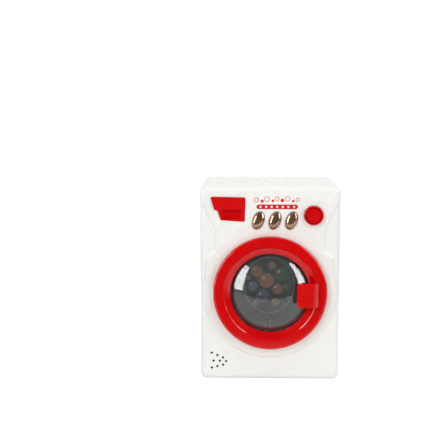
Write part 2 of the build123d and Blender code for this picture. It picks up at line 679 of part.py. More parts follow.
gear_y0 = hub_end_y + end_gap
gear_y1 = gear_y0 + gear_t
clip_t = 0.8
clip_y = gear_y1 + 0.2
axle_end = clip_y + clip_t + 1.2
groove_r = axle_r - 0.5
save("drum_axle", turned([
    (0, axle_y0), (axle_r, axle_y0), (axle_r, clip_y - 0.02), (groove_r, clip_y - 0.02),
    (groove_r, clip_y + clip_t + 0.02), (axle_r, clip_y + clip_t + 0.02), (axle_r, axle_end - 0.5),
    (axle_r - 0.5, axle_end), (0, axle_end)], 0, drum_z))
clip = Circle(axle_r + 2.4) - Circle(groove_r + 0.02) - Pos(0, -4) * Rectangle(2 * groove_r - 0.2, 8)
save("axle_clip", slab(Pos(0, drum_z) * clip, clip_y, clip_y + clip_t))

# tub
tub_skin_y = tub_back_y + tub_wall
tub = turned([
    (bush_r, tub_back_y), (tub_in - 3, tub_back_y), (tub_in, tub_back_y - 3), (tub_in, y_panel),
    (tub_r + 3, y_panel), (tub_r + 3, y_panel + 1.8), (tub_r, y_panel + 1.8), (tub_r, tub_skin_y - 3),
    (tub_r - 3, tub_skin_y), (tub_hub_r, tub_skin_y), (tub_hub_r, hub_end_y), (bush_r, hub_end_y)], 0, drum_z)
for a in (45, 135, 225, 315):
    x, z = polar(tub_screw_r, a)
    lug_len = tub_screw_r - tub_r + 1
    lug = Circle(lug_r) + Pos(-lug_len / 2, 0) * Rectangle(lug_len, 2 * lug_r)
    tub += slab(Pos(x, z) * Rot(0, 0, a) * lug, boss_y, boss_y + lug_t)
    tub -= rod(tub_screw_shank + 0.1, boss_y - 1, boss_y + lug_t + 1, x, z)

# places of the idler and the motor
drum_p, small_p = module * drum_teeth / 2, module * idler_small_teeth / 2
big_p, pinion_p = module * idler_big_teeth / 2, module * pinion_teeth / 2
idler_dist = drum_p + small_p + mesh_slack
motor_dist = big_p + pinion_p + mesh_slack
idler_x, idler_z = polar(idler_dist, idler_dir)
motor_x = idler_x + motor_dist * cos(radians(motor_dir))
motor_z = idler_z + motor_dist * sin(radians(motor_dir))
big_y0 = gear_y1 + 0.6
big_y1 = big_y0 + big_t
plate_y0 = big_y1 + 0.8
plate_y1 = plate_y0 + plate_t
plate_post_in = (12.85, 7.65, 4.45)       # posts inside the tub's wall
plate_posts = [polar(tub_r - inside, a) for inside, a in zip(plate_post_in, (148, 19, 103))]
for x, z in plate_posts:
    tub += rod(post_r, tub_skin_y - 0.5, plate_y0, x, z)
    tub -= rod(board_screw_shank + pilot_gap, plate_y0 - 8, plate_y0 + 1, x, z)
tub += rod(3.4, tub_skin_y - 0.5, gear_y0 - end_gap, idler_x, idler_z)
tub -= rod(idler_axle_r + 0.02, tub_skin_y - 0.8, gear_y0, idler_x, idler_z)
save("tub", tub)
save("tub_screws", *[screw(x, z, boss_y + lug_t, tub_screw_shank, lug_t + 4.6, 2.5, 1.6)
                     for x, z in tub_spots])

save("drum_bush", turned([
    (axle_r + run_gap, tub_back_y - bush_flange_t), (bush_flange_r, tub_back_y - bush_flange_t),
    (bush_flange_r, tub_back_y), (bush_r, tub_back_y), (bush_r, hub_end_y), (axle_r + run_gap, hub_end_y)],
    0, drum_z))


# gears
def involute(a):
    return tan(a) - a


def gear_sketch(teeth, turn_deg):
    # tooth flanks are involutes; the first tooth points at turn_deg
    pitch = module * teeth / 2
    base = pitch * cos(radians(pressure_deg))
    tip, root = pitch + addendum * module, pitch - dedendum * module
    half = (pi * module / 2 - backlash / 2) / (2 * pitch) + involute(radians(pressure_deg))
    start = max(base, root)
    flank = [(root, half)] if root < base else []
    for k in range(4):
        r = start + (tip - start) * k / 3
        flank.append((r, half - involute(acos(base / r))))
    points = []
    for k in range(teeth):
        mid = radians(turn_deg) + 2 * pi * k / teeth
        points += [(r * cos(mid - a), r * sin(mid - a)) for r, a in flank]
        points += [(r * cos(mid + a), r * sin(mid + a)) for r, a in reversed(flank)]
    return Polygon(*points, align=None)


drum_gear = slab(Pos(0, drum_z) * (gear_sketch(drum_teeth, idler_dir)), gear_y0, gear_y1)
gear_hub_r, gear_rim_r, web_in = 7.0, drum_p - 4, 2.0     # a thinner web between hub and rim
drum_gear -= turned([(gear_hub_r, gear_y0 - 1), (gear_rim_r, gear_y0 - 1), (gear_rim_r, gear_y0 + web_in),
                     (gear_hub_r, gear_y0 + web_in)], 0, drum_z)
drum_gear -= turned([(gear_hub_r, gear_y1 + 1), (gear_rim_r, gear_y1 + 1), (gear_rim_r, gear_y1 - web_in),
                     (gear_hub_r, gear_y1 - web_in)], 0, drum_z)
drum_gear -= rod(axle_r + 0.02, gear_y0 - 1, gear_y1 + 1, 0, drum_z)
save("drum_gear", drum_gear)

half_small = 180.0 / idler_small_teeth
idler = slab(Pos(idler_x, idler_z) * gear_sketch(idler_small_teeth, idler_dir + 180 + half_small),
             gear_y0, big_y0 + 0.5)
idler += slab(Pos(idler_x, idler_z) * gear_sketch(idler_big_teeth, motor_dir), big_y0, big_y1)
idler -= rod(idler_axle_r + run_gap, gear_y0 - 1, big_y1 + 1, idler_x, idler_z)
save("idler_gear", idler)
save("idler_axle", rod(idler_axle_r, tub_skin_y - 0.6, plate_y1 + 1.0, idler_x, idler_z))

# motor plate on the tub's posts
half_pinion = 180.0 / pinion_teeth
motor_ears = [(motor_x + motor_flat / 2 + 5.5, motor_z - 6), (motor_x - motor_flat / 2 - 5.5, motor_z + 6)]
corners = Sketch() + [Pos(x, z) * Circle(5.0) for x, z in plate_posts + motor_ears]
corners += Pos(motor_x, motor_z) * Circle(motor_r + 2)
plate_shape = make_hull(corners.edges())
plate_shape -= Pos(motor_x, motor_z) * Circle(3.3)
plate_shape -= Pos(idler_x, idler_z) * Circle(idler_axle_r + 0.02)
for x, z in plate_posts:
    plate_shape -= Pos(x, z) * Circle(board_screw_shank + 0.1)
for x, z in motor_ears:
    plate_shape -= Pos(x, z) * Circle(board_screw_shank + pilot_gap)
save("motor_plate", slab(plate_shape, plate_y0, plate_y1))
save("plate_screws", *[screw(x, z, plate_y1, board_screw_shank, plate_t + 6, 2.1, 1.5)
                       for x, z in plate_posts])

# motor: flattened can, end cap, nose in the plate's hole, turning shaft with its pinion
can = Circle(motor_r) & Rectangle(motor_flat, 2 * motor_r + 2)
motor_y1 = plate_y1 + motor_len
motor = slab(Pos(motor_x, motor_z) * can, plate_y1, motor_y1 - 4)
motor += slab(Pos(motor_x, motor_z) * (Circle(motor_r - 0.6) & Rectangle(motor_flat - 0.8, 2 * motor_r)),
              motor_y1 - 4.2, motor_y1)
motor += rod(3.1, plate_y0 + 0.3, plate_y1 + 0.5, motor_x, motor_z)
motor -= rod(motor_shaft_r + run_gap, plate_y0 - 1, plate_y1 + 8, motor_x, motor_z)
for dx in (-4.5, 4.5):
    motor += bar(motor_x + dx - 1.0, motor_x + dx + 1.0, motor_y1 - 0.5, motor_y1 + 2.6,
                 motor_z - 0.25, motor_z + 0.25)
save("motor", motor)
sleeve_len = 9.0
sleeve = slab(Pos(motor_x, motor_z) * (offset(can, 1.4) - offset(can, 0.05)), plate_y1, plate_y1 + sleeve_len)
ears = Sketch() + [Pos(x, z) * Circle(3.0) for x, z in motor_ears]
for (x, z), s in zip(motor_ears, (-1, 1)):
    ears += Pos(x + s * 2.5, z) * Rectangle(5.0, 6.0)
ears -= Pos(motor_x, motor_z) * offset(can, 0.05)
sleeve += slab(ears, plate_y1, plate_y1 + 1.6)
for x, z in motor_ears:
    sleeve -= rod(board_screw_shank + 0.1, plate_y1 - 1, plate_y1 + 3, x, z)
save("motor_sleeve", sleeve)
save("sleeve_screws", *[screw(x, z, plate_y1 + 1.6, board_screw_shank, 1.6 + plate_t + 1, 2.0, 1.4)
                        for x, z in motor_ears])
save("motor_shaft", rod(motor_shaft_r, big_y0 + 0.2, plate_y1 + 7.5, motor_x, motor_z))
pinion = gear_sketch(pinion_teeth, motor_dir + 180 + half_pinion)
pinion = slab(Pos(motor_x, motor_z) * pinion, big_y0, big_y1 + 0.3)
pinion -= rod(motor_shaft_r, big_y0 + 0.2, big_y1 + 1, motor_x, motor_z)
save("motor_pinion", pinion)

# drawer
block = slab(drawer_sketch(0.0), at(drawer_bulge + 2), at(drawer_proud - drawer_front_t))
top_z = max(z for _, z in drawer_outline)
swell = make_face(
    Polyline((at(0), top_z + 2), (at(drawer_proud * 0.6), top_z + 2))
    + ThreePointArc((at(drawer_proud * 0.6), top_z + 2),
                    (at(drawer_bulge), (top_z + drawer_ledge_z) / 2 - 1.0),
                    (at(drawer_bulge - 0.5), drawer_ledge_z))
    + Polyline((at(drawer_bulge - 0.5), drawer_ledge_z), (at(drawer_proud), drawer_ledge_z - 0.9),
               (at(drawer_proud), 150), (at(drawer_proud - drawer_front_t - 3), 150),
               (at(drawer_proud - drawer_front_t - 3), top_z + 2), (at(0), top_z + 2)))
side_on = Plane(origin=(-80, 0, 0), x_dir=(0, 1, 0), z_dir=(1, 0, 0))
front_panel = block & extrude(side_on * swell, amount=80)
recess = slab(Pos((recess_x0 + recess_x1) / 2, (recess_z0 + drawer_ledge_z) / 2) * RectangleRounded(
    recess_x1 - recess_x0, drawer_ledge_z - recess_z0, 1.8), at(20), at(drawer_proud - recess_depth))
recess &= bar(-80, 0, at(30), 0, 0, drawer_ledge_z - 0.8)
front_panel -= recess
save("drawer_front", front_panel)

drawer_back_y = at(drawer_proud - drawer_front_t)
tray_y1 = drawer_back_y + tray_len
tray = bar(tray_x0, tray_x1, drawer_back_y, tray_y1, tray_z0, tray_z1)
tray -= bar(tray_x0 + tray_wall, tray_x1 - tray_wall, drawer_back_y + tray_wall, tray_y1 - tray_wall,
            tray_z0 + tray_wall, tray_z1 + 1)
tray_mid = (tray_x0 + tray_x1) / 2
tray += bar(tray_mid - 0.6, tray_mid + 0.6, drawer_back_y + 1, tray_y1 - 1, tray_z0 + 1, tray_z1 - 5)
save("drawer_tray", tray)

g = guide_gap + guide_wall
guide_y0, guide_y1 = y_panel, tray_y1 + 1.5
guide = bar(tray_x0 - g, tray_x1 + g, guide_y0, guide_y1, tray_z0 - g, tray_z1 + g)
guide -= bar(tray_x0 - guide_gap, tray_x1 + guide_gap, guide_y0 - 1, guide_y1 - guide_wall,
             tray_z0 - guide_gap, tray_z1 + guide_gap)
guide -= bar(tray_x0 + 4, tray_x1 - 4, guide_y0 + 6, guide_y1 - 5, tray_z1, tray_z1 + 10)
guide -= slab(drawer_sketch(drawer_gap), y_front - 5, drawer_back_y + 0.6)
save("drawer_guide", guide)

# buttons
tact_top_y = carrier_y + carrier_t + 0.3
stem_end_y = tact_top_y - button_travel - 0.2
board_y = tact_top_y + tact_plunger + tact_body
flange_y = y_panel + 0.4
spring_end_y = carrier_y + seat_depth - 0.02
spring_out = spring_mean_r + spring_wire / 2 + 0.3


def button_back(cap, outline, cap_in_y, x, z):
    # hollow back with a retaining flange and the stem that works the switch
    cap += slab(outline(flange_w), flange_y, flange_y + flange_t)
    cap -= slab(outline(-button_skin), cap_in_y, flange_y + flange_t + 1)
    return cap + rod(stem_r, cap_in_y - 0.4, stem_end_y, x, z)


def spring_at(x, z, y0):
    height = spring_end_y - y0 - spring_wire
    coil = Helix(pitch=height / spring_turns, height=height, radius=spring_mean_r)
    wire = Plane(origin=coil @ 0, x_dir=(1, 0, 0), z_dir=coil % 0) * Rectangle(spring_wire, spring_wire)
    solid = sweep(wire, path=coil, is_frenet=True)
    return Pos(x, y0 + spring_wire / 2, z) * Rot(-90, 0, 0) * solid


for name, x in zip(("a", "b", "c"), oval_xs):
    edge_y = at(oval_edge)
    cap = slab(oval_sketch(x, 0.0), edge_y - oval_dome - 1, flange_y + flange_t)
    # an egg-shaped ball, a little wider than the button, rounds its face off
    sink = sqrt(oval_round ** 2 - 1)
    depth = oval_dome / (oval_round - sink)
    ball_y = edge_y + depth * sink
    egg = scale(Sphere(oval_round), by=(oval_short / 2, depth, oval_long / 2))
    around = bar(x - 20, x + 20, edge_y - oval_dome - 2, ball_y, oval_z - 20, oval_z + 20)
    cap -= around - Pos(x, ball_y, oval_z) * Rot(0, oval_tilt, 0) * egg
    inside_y = at(oval_edge) + 0.4
    save(f"oval_button_{name}", button_back(cap, lambda g, x=x: oval_sketch(x, g), inside_y, x, oval_z))
    save(f"oval_spring_{name}", spring_at(x, oval_z, inside_y))

start_cap = slab(start_sketch(0.0), at(start_proud), flange_y + flange_t)
start_cap = fillet(start_cap.faces().sort_by(Axis.Y)[0].edges(), start_edge_r)
start_in_y = at(oval_edge) + 0.4
save("start_button", button_back(start_cap, start_sketch, start_in_y, start_x, start_z))
save("start_spring", spring_at(start_x, start_z, start_in_y))

# carrier, circuit board and switches behind the panel
button_spots = [(x, oval_z) for x in oval_xs] + [(start_x, start_z)]
cx0, cz0, cx1, cz1 = carrier_box
carrier_shape = Pos((cx0 + cx1) / 2, (cz0 + cz1) / 2) * RectangleRounded(cx1 - cx0, cz1 - cz0, 3)
carrier = slab(carrier_shape, carrier_y, carrier_y + carrier_t)
for x, z in button_spots:
    carrier -= rod(spring_out, carrier_y - 1, carrier_y + seat_depth, x, z)
    carrier -= rod(stem_r + 0.3, carrier_y - 1, carrier_y + carrier_t + 1, x, z)
for x, z in board_posts:
    carrier += rod(board_post_r, carrier_y + carrier_t - 0.5, board_y, x, z)
    carrier -= rod(board_screw_shank + 0.1, carrier_y - 1, board_y + 1, x, z)
save("button_carrier", carrier)
board = slab(carrier_shape, board_y, board_y + board_t)
for x, z in board_posts:
    board -= rod(board_screw_shank + 0.1, board_y - 1, board_y + board_t + 1, x, z)
save("circuit_board", board)
board_seat = board_y + board_t
save("board_screws", *[screw(x, z, board_seat, board_screw_shank, board_seat - carrier_y + 4, 2.1, 1.5)
                       for x, z in board_posts])
tacts = []
for x, z in button_spots:
    body = bar(x - tact_w / 2, x + tact_w / 2, board_y - tact_body, board_y, z - tact_w / 2, z + tact_w / 2)
    tacts.append(body + rod(tact_plunger_r, tact_top_y, board_y - tact_body + 0.2, x, z))
save("tact_switches", *tacts)

# speaker
magnet_y = y_floor + speaker_t
speaker = turned([
    (0, y_floor + 1.6), (5, y_floor + 2.4), (speaker_r - 1.5, y_floor + 0.6), (speaker_r - 1.5, y_floor),
    (speaker_r, y_floor), (speaker_r, y_floor + 1.4), (speaker_r - 1.2, y_floor + 1.8),
    (magnet_r + 0.6, magnet_y - 0.6), (magnet_r, magnet_y), (magnet_r, magnet_y + magnet_t),
    (0, magnet_y + magnet_t)], speaker_x, speaker_z)
save("speaker", speaker)
(px0, pz0), (px1, pz1) = speaker_posts
clamp = Pos(speaker_x, speaker_z) * (Circle(magnet_r + 3.4) - Circle(magnet_r + 0.2))
for x, z in speaker_posts:
    clamp += Pos(x, z) * Circle(3.0)
    far = hypot(x - speaker_x, z - speaker_z)
    turn_deg = degrees(acos((x - speaker_x) / far))
    arm = Pos((far + magnet_r + 1) / 2, 0) * Rectangle(far - magnet_r - 1, 4.5)
    clamp += Pos(speaker_x, speaker_z) * Rot(0, 0, turn_deg) * arm
for x, z in speaker_posts:
    clamp -= Pos(x, z) * Circle(board_screw_shank + 0.1)
save("speaker_clamp", slab(clamp, post_end, post_end + 1.6))
save("speaker_screws", *[screw(x, z, post_end + 1.6, board_screw_shank, 5.5, 2.0, 1.4)
                         for x, z in speaker_posts])

# batteries and their cover
cells = []
for k, side in ((0, 1), (1, -1)):
    z = cell_z + k * cell_pitch
    body = Pos(0, cell_y, z) * Rot(0, 90, 0) * Cylinder(cell_r, cell_len - 1.2)
    cells.append(body + Pos(side * (cell_len / 2 - 0.6), cell_y, z) * Rot(0, 90, 0) * Cylinder(2.6, 1.6))
save("battery_cells", *cells)
contact_t = 0.5
contacts = []
for side in (-1, 1):
    plate_x = side * (bay_x - contact_t / 2)
    tall = (bay_z1 - bay_z0 - 2) if side > 0 else cell_pitch - 2
    mids = [(bay_z0 + bay_z1) / 2] if side > 0 else [cell_z, cell_z + cell_pitch]
    for mid in mids:
        plate = Pos(plate_x, cell_y, mid) * Box(contact_t, 9, tall)
        nubs = [cell_z, cell_z + cell_pitch] if side > 0 else [mid]
        for z in nubs:
            reach = cell_len / 2 + (0.2 if (z == cell_z) == (side > 0) else -0.6)
            depth = bay_x - contact_t - reach - 0.02
            nub = Cone(3.2, 1.8, depth + 0.1)
            nub_x = side * (bay_x - contact_t - depth / 2 + 0.05)
            plate += Pos(nub_x, cell_y, z) * Rot(0, -90 * side, 0) * nub
        contacts.append(plate)
save("battery_contacts", *contacts)
cover_shape = Pos(0, (cover_z0 + cover_z1) / 2) * RectangleRounded(
    2 * (cover_x - cover_gap), cover_z1 - cover_z0 - 2 * cover_gap, 0.8)
ear_root = Pos(cover_screw[0], cover_screw[1] - 3.6) * Rectangle(8.8 - 2 * cover_gap, 7)
cover_shape += offset(ear, -cover_gap) + ear_root
cover = slab(cover_shape, cover_seat + 0.1, y_rear)
cover -= rod(board_screw_shank + 0.1, cover_seat - 1, y_rear + 1, *cover_screw)
cover -= rod(2.5, y_rear - 1.1, y_rear + 1, *cover_screw)
for k in range(5):
    cover -= bar(-9, 9, y_rear - 0.6, y_rear + 1, bay_z0 + 4 + 3 * k, bay_z0 + 5.2 + 3 * k)
save("battery_cover", cover)
save("cover_screw", screw(*cover_screw, y_rear - 1.1, board_screw_shank, 5.5, 2.3, 1.0))

# power switch
slider_y = y_rear - wall - 0.3
slider = bar(switch_x - slider_w / 2 - slider_travel / 2, switch_x + slider_w / 2 - slider_travel / 2,
             slider_y, y_rear + 1.0, switch_z - slider_h / 2, switch_z + slider_h / 2)
base_w = slider_w + 3
slider += bar(switch_x - base_w / 2 - slider_travel / 2, switch_x + base_w / 2 - slider_travel / 2,
              slider_y - 1.6, slider_y, switch_z - slider_h / 2 - 0.8, switch_z + slider_h / 2 + 0.8)
save("power_slider", slider)
sw_half = base_w / 2 + slider_travel / 2 + 0.3
sw_h = slider_h / 2 + 0.8 + 0.3
body = bar(switch_x - sw_half - 1.4, switch_x + sw_half + 1.4, slider_y - 7, y_rear - wall,
           switch_z - sw_h - 1.4, switch_z + sw_h + 1.4)
body -= bar(switch_x - sw_half, switch_x + sw_half, slider_y - 1.9, y_rear, switch_z - sw_h, switch_z + sw_h)
save("power_switch", body)
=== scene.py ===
import math

import bpy
import bmesh
from mathutils import Matrix, Vector


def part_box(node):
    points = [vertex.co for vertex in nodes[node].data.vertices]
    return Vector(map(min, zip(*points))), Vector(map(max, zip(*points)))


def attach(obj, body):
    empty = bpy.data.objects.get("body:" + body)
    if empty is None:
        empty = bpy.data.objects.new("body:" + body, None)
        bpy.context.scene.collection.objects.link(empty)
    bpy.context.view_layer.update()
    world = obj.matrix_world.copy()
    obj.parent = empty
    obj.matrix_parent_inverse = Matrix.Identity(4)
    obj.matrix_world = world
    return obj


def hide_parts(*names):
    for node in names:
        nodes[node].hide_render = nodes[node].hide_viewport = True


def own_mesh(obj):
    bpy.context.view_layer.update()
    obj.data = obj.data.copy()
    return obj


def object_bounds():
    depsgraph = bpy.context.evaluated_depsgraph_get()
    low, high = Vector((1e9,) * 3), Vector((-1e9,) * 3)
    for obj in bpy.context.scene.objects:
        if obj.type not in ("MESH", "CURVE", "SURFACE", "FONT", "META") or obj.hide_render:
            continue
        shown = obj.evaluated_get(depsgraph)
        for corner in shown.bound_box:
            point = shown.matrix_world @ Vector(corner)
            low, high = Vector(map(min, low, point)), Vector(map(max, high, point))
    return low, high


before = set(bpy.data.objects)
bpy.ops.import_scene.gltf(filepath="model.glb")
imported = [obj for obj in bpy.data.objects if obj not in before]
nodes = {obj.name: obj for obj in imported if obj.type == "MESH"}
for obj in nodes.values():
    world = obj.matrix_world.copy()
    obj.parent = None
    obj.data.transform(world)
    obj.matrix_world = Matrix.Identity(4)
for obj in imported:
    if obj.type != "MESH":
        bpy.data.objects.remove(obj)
cadLow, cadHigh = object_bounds()
mm = 0.001
print("frame loaded:", len(nodes), "nodes")

# camera, as far round and above as the photograph's
viewpoint = {"place": (-0.0233, -0.9999, 0.2984), "yaw": -1.427, "pitch": 6.035, "roll": -0.032,
             "lens": 75.59, "shiftDown": -0.08}


def middleOf(nodeName):
    low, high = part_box(nodeName)
    return low, high, (low.x + high.x) / 2, (low.z + high.z) / 2


def addObject(name, data):
    thing = bpy.data.objects.new(name, data)
    bpy.context.scene.collection.objects.link(thing)
    return thing


def makeCamera():
    yaw, pitch, roll = (math.radians(viewpoint[k]) for k in ("yaw", "pitch", "roll"))
    ahead = Vector((math.sin(yaw) * math.cos(pitch), math.cos(yaw) * math.cos(pitch), -math.sin(pitch)))
    right = ahead.cross(Vector((0, 0, 1))).normalized()
    up = right.cross(ahead)
    right, up = right * math.cos(roll) + up * math.sin(roll), up * math.cos(roll) - right * math.sin(roll)
    camera = addObject("camera", bpy.data.cameras.new("camera"))
    facing = Matrix((right, up, -ahead)).transposed().to_4x4()
    camera.matrix_world = Matrix.Translation(viewpoint["place"]) @ facing
    camera.data.lens = viewpoint["lens"]
    camera.data.shift_y = viewpoint["shiftDown"]
    camera.data.clip_start = 0.05
    bpy.context.scene.camera = camera


makeCamera()
print("camera placed")


# small helpers for node trees
def addNode(tree, kind, settings=None, inputs=None):
    node = tree.nodes.new(kind)
    for key, value in (settings or {}).items():
        setattr(node, key, value)
    for key, value in (inputs or {}).items():
        if isinstance(value, bpy.types.NodeSocket):
            tree.links.new(value, node.inputs[key])
        else:
            node.inputs[key].default_value = value
    return node


def feed(tree, node, sources):
    for label, source in sources.items():
        tree.links.new(source, node.inputs[label])


def newGroup(name, inputs, outputs):
    group = bpy.data.node_groups.new(name, "ShaderNodeTree")
    kinds = {"color": "NodeSocketColor", "float": "NodeSocketFloat", "vector": "NodeSocketVector"}
    for label, kind, value in inputs:
        socket = group.interface.new_socket(name=label, in_out="INPUT", socket_type=kinds[kind])
        socket.default_value = value
    for label, kind in outputs:
        group.interface.new_socket(name=label, in_out="OUTPUT", socket_type=kinds[kind])
    return group, group.nodes.new("NodeGroupInput").outputs, group.nodes.new("NodeGroupOutput")


def maths(tree, operation, a, b=None, clamp=False):
    given = {0: a} if b is None else {0: a, 1: b}
    return addNode(tree, "ShaderNodeMath", {"operation": operation, "use_clamp": clamp}, given).outputs[0]


def times(tree, a, b, clamp=False):
    return maths(tree, "MULTIPLY", a, b, clamp)


def plus(tree, a, b):
    return maths(tree, "ADD", a, b)


def minus(tree, a, b):
    return maths(tree, "SUBTRACT", a, b)


def vectors(tree, operation, a, b=None):
    given = {0: a} if b is None else {0: a, 1: b}
    node = addNode(tree, "ShaderNodeVectorMath", {"operation": operation}, given)
    return node.outputs["Value" if operation in ("LENGTH", "DISTANCE") else "Vector"]


def vector(tree, x, y, z):
    return addNode(tree, "ShaderNodeCombineXYZ", {}, {0: x, 1: y, 2: z}).outputs[0]


def axes(tree, at):
    return addNode(tree, "ShaderNodeSeparateXYZ", {}, {0: at}).outputs


def noise(tree, at, scale, detail=2.0, rough=0.5):
    return addNode(tree, "ShaderNodeTexNoise", {}, {"Vector": at, "Scale": scale, "Detail": detail,
                                                    "Roughness": rough}).outputs["Fac"]


def slope(tree, value, low, high):
    return addNode(tree, "ShaderNodeMapRange", {}, {"Value": value, "From Min": low,
                                                    "From Max": high}).outputs["Result"]


def ramp(tree, value, low, high, outLow=0.0, outHigh=1.0):
    return addNode(tree, "ShaderNodeMapRange", {"interpolation_type": "SMOOTHSTEP"},
                   {"Value": value, "From Min": low, "From Max": high, "To Min": outLow,
                    "To Max": outHigh}).outputs["Result"]


def mixColour(tree, factor, a, b):
    return addNode(tree, "ShaderNodeMix", {"data_type": "RGBA"}, {0: factor, 6: a, 7: b}).outputs[2]


def place(tree):
    return addNode(tree, "ShaderNodeTexCoord").outputs["Object"]


# effects that several materials share
def makeMouldedSkin():
    # uneven colour, smudged gloss and a fine moulded grain
    group, given, made = newGroup("mouldedSkin", [
        ("Colour", "color", (0.8, 0.8, 0.8, 1)), ("Tint", "color", (0.7, 0.7, 0.7, 1)),
        ("Tint Amount", "float", 0.3), ("Patch Scale", "float", 30.0), ("Roughness", "float", 0.3),
        ("Smudge", "float", 0.1), ("Grain Scale", "float", 1800.0)],
        [("Colour", "color"), ("Roughness", "float"), ("Height", "float")])
    at = place(group)
    patches = ramp(group, noise(group, at, given["Patch Scale"], 3.0), 0.35, 0.68)
    amount = times(group, patches, given["Tint Amount"])
    feed(group, made, {"Colour": mixColour(group, amount, given["Colour"], given["Tint"])})
    smudges = ramp(group, noise(group, at, 48.0, 5.0, 0.6), 0.46, 0.70)
    streaks = ramp(group, noise(group, at, 210.0, 2.0), 0.55, 0.75)
    smear = plus(group, smudges, times(group, streaks, 0.35))
    lift = times(group, smear, given["Smudge"])
    feed(group, made, {"Roughness": plus(group, lift, given["Roughness"])})
    grain = noise(group, at, given["Grain Scale"], 3.0, 0.6)
    swell = noise(group, at, 160.0, 1.0)
    height = plus(group, times(group, grain, 0.35), times(group, swell, 0.65))
    feed(group, made, {"Height": height})
    return group


def makeEdgeWear():
    # edges rub lighter or darker where the surface turns sharply
    group, given, made = newGroup("edgeWear", [
        ("Colour", "color", (0.8, 0.8, 0.8, 1)), ("Worn Colour", "color", (0.9, 0.9, 0.9, 1)),
        ("Amount", "float", 0.5), ("Patchiness", "float", 0.5)],
        [("Colour", "color"), ("Mask", "float")])
    turn = ramp(group, addNode(group, "ShaderNodeNewGeometry").outputs["Pointiness"], 0.515, 0.60)
    patchy = ramp(group, noise(group, place(group), 130.0, 4.0, 0.65), 0.35, 0.62)
    kept = minus(group, 1.0, times(group, given["Patchiness"], minus(group, 1.0, patchy)))
    mask = times(group, times(group, turn, kept), given["Amount"], clamp=True)
    feed(group, made, {"Colour": mixColour(group, mask, given["Colour"], given["Worn Colour"]), "Mask": mask})
    return group


def makeDustFall():
    # dust settles on what faces up
    group, given, made = newGroup("dustFall", [
        ("Colour", "color", (0.8, 0.8, 0.8, 1)), ("Dust", "color", (0.55, 0.52, 0.47, 1)),
        ("Amount", "float", 0.2), ("Speck Scale", "float", 900.0)],
        [("Colour", "color"), ("Mask", "float")])
    facing = axes(group, addNode(group, "ShaderNodeNewGeometry").outputs["Normal"])["Z"]
    upward = ramp(group, facing, 0.25, 0.95, 0.15, 1.0)
    at = place(group)
    drift = ramp(group, noise(group, at, 60.0, 4.0, 0.6), 0.40, 0.72)
    specks = ramp(group, noise(group, at, given["Speck Scale"], 1.0), 0.62, 0.74)
    both = maths(group, "MAXIMUM", times(group, drift, 0.6), specks)
    mask = times(group, times(group, both, upward), given["Amount"], clamp=True)
    feed(group, made, {"Colour": mixColour(group, mask, given["Colour"], given["Dust"]), "Mask": mask})
    return group


def makeFineScratches():
    # hairlines in two directions, a mask from 0 to 1
    group, given, made = newGroup("fineScratches", [("Scale", "float", 1.0), ("Amount", "float", 0.5)],
                                  [("Mask", "float")])
    at = place(group)
    lines = []
    for turn, squeeze in (((0.2, 0.5, 0.3), (9.0, 9.0, 520.0)), ((0.9, 0.1, 1.2), (12.0, 12.0, 640.0))):
        turned = addNode(group, "ShaderNodeMapping", {}, {"Vector": at, "Rotation": turn, "Scale": squeeze})
        lines.append(ramp(group, noise(group, turned.outputs[0], given["Scale"], 1.0), 0.66, 0.74))
    both = maths(group, "MAXIMUM", *lines)
    feed(group, made, {"Mask": times(group, both, given["Amount"])})
    return group


def makeDrawnMetal():
    # drawn or plated metal: fine lines along one direction and dull patches
    group, given, made = newGroup("drawnMetal", [
        ("Colour", "color", (0.6, 0.6, 0.6, 1)), ("Dull Colour", "color", (0.45, 0.43, 0.4, 1)),
        ("Dullness", "float", 0.4), ("Roughness", "float", 0.28), ("Along", "vector", (60.0, 2600.0, 60.0))],
        [("Colour", "color"), ("Roughness", "float"), ("Height", "float")])
    at = place(group)
    drawn = addNode(group, "ShaderNodeMapping", {}, {"Vector": at, "Scale": given["Along"]})
    lines = noise(group, drawn.outputs[0], 1.0, 3.0, 0.6)
    patches = ramp(group, noise(group, at, 240.0, 4.0, 0.6), 0.42, 0.66)
    amount = times(group, patches, given["Dullness"])
    feed(group, made, {"Colour": mixColour(group, amount, given["Colour"], given["Dull Colour"])})
    spread = times(group, plus(group, lines, patches), 0.12)
    feed(group, made, {"Roughness": plus(group, spread, given["Roughness"])})
    feed(group, made, {"Height": lines})
    return group


def makeRoundMark():
    # one disc painted on, filled or as a ring, seen from the front; used for print, and for painted shade in
    # the sound holes and the round button's groove
    group, given, made = newGroup("roundMark", [
        ("Colour", "color", (0.8, 0.8, 0.8, 1)), ("Ink And Shade", "color", (0.8, 0.1, 0.1, 1)),
        ("Centre", "vector", (0, 0, 0)), ("Radius", "float", 0.004), ("Hole", "float", 0.0),
        ("Cover", "float", 1.0)],
        [("Colour", "color"), ("Mask", "float")])
    flat = vectors(group, "MULTIPLY", place(group), (1, 0, 1))
    away = vectors(group, "DISTANCE", flat, given["Centre"])
    edge = 0.00012
    inside = slope(group, minus(group, away, given["Radius"]), edge, -edge)
    holeR = times(group, given["Radius"], given["Hole"])
    outside = slope(group, minus(group, away, holeR), -edge, edge)
    mask = times(group, times(group, inside, outside), given["Cover"])
    feed(group, made, {"Colour": mixColour(group, mask, given["Colour"], given["Ink And Shade"]), "Mask": mask})
    return group


groups = {"skin": makeMouldedSkin(), "edges": makeEdgeWear(), "dust": makeDustFall(),
          "scratches": makeFineScratches(), "metal": makeDrawnMetal(), "mark": makeRoundMark()}
print("shader groups built:", len(groups))


def useGroup(tree, key, inputs):
    return addNode(tree, "ShaderNodeGroup", {"node_tree": groups[key]}, inputs).outputs


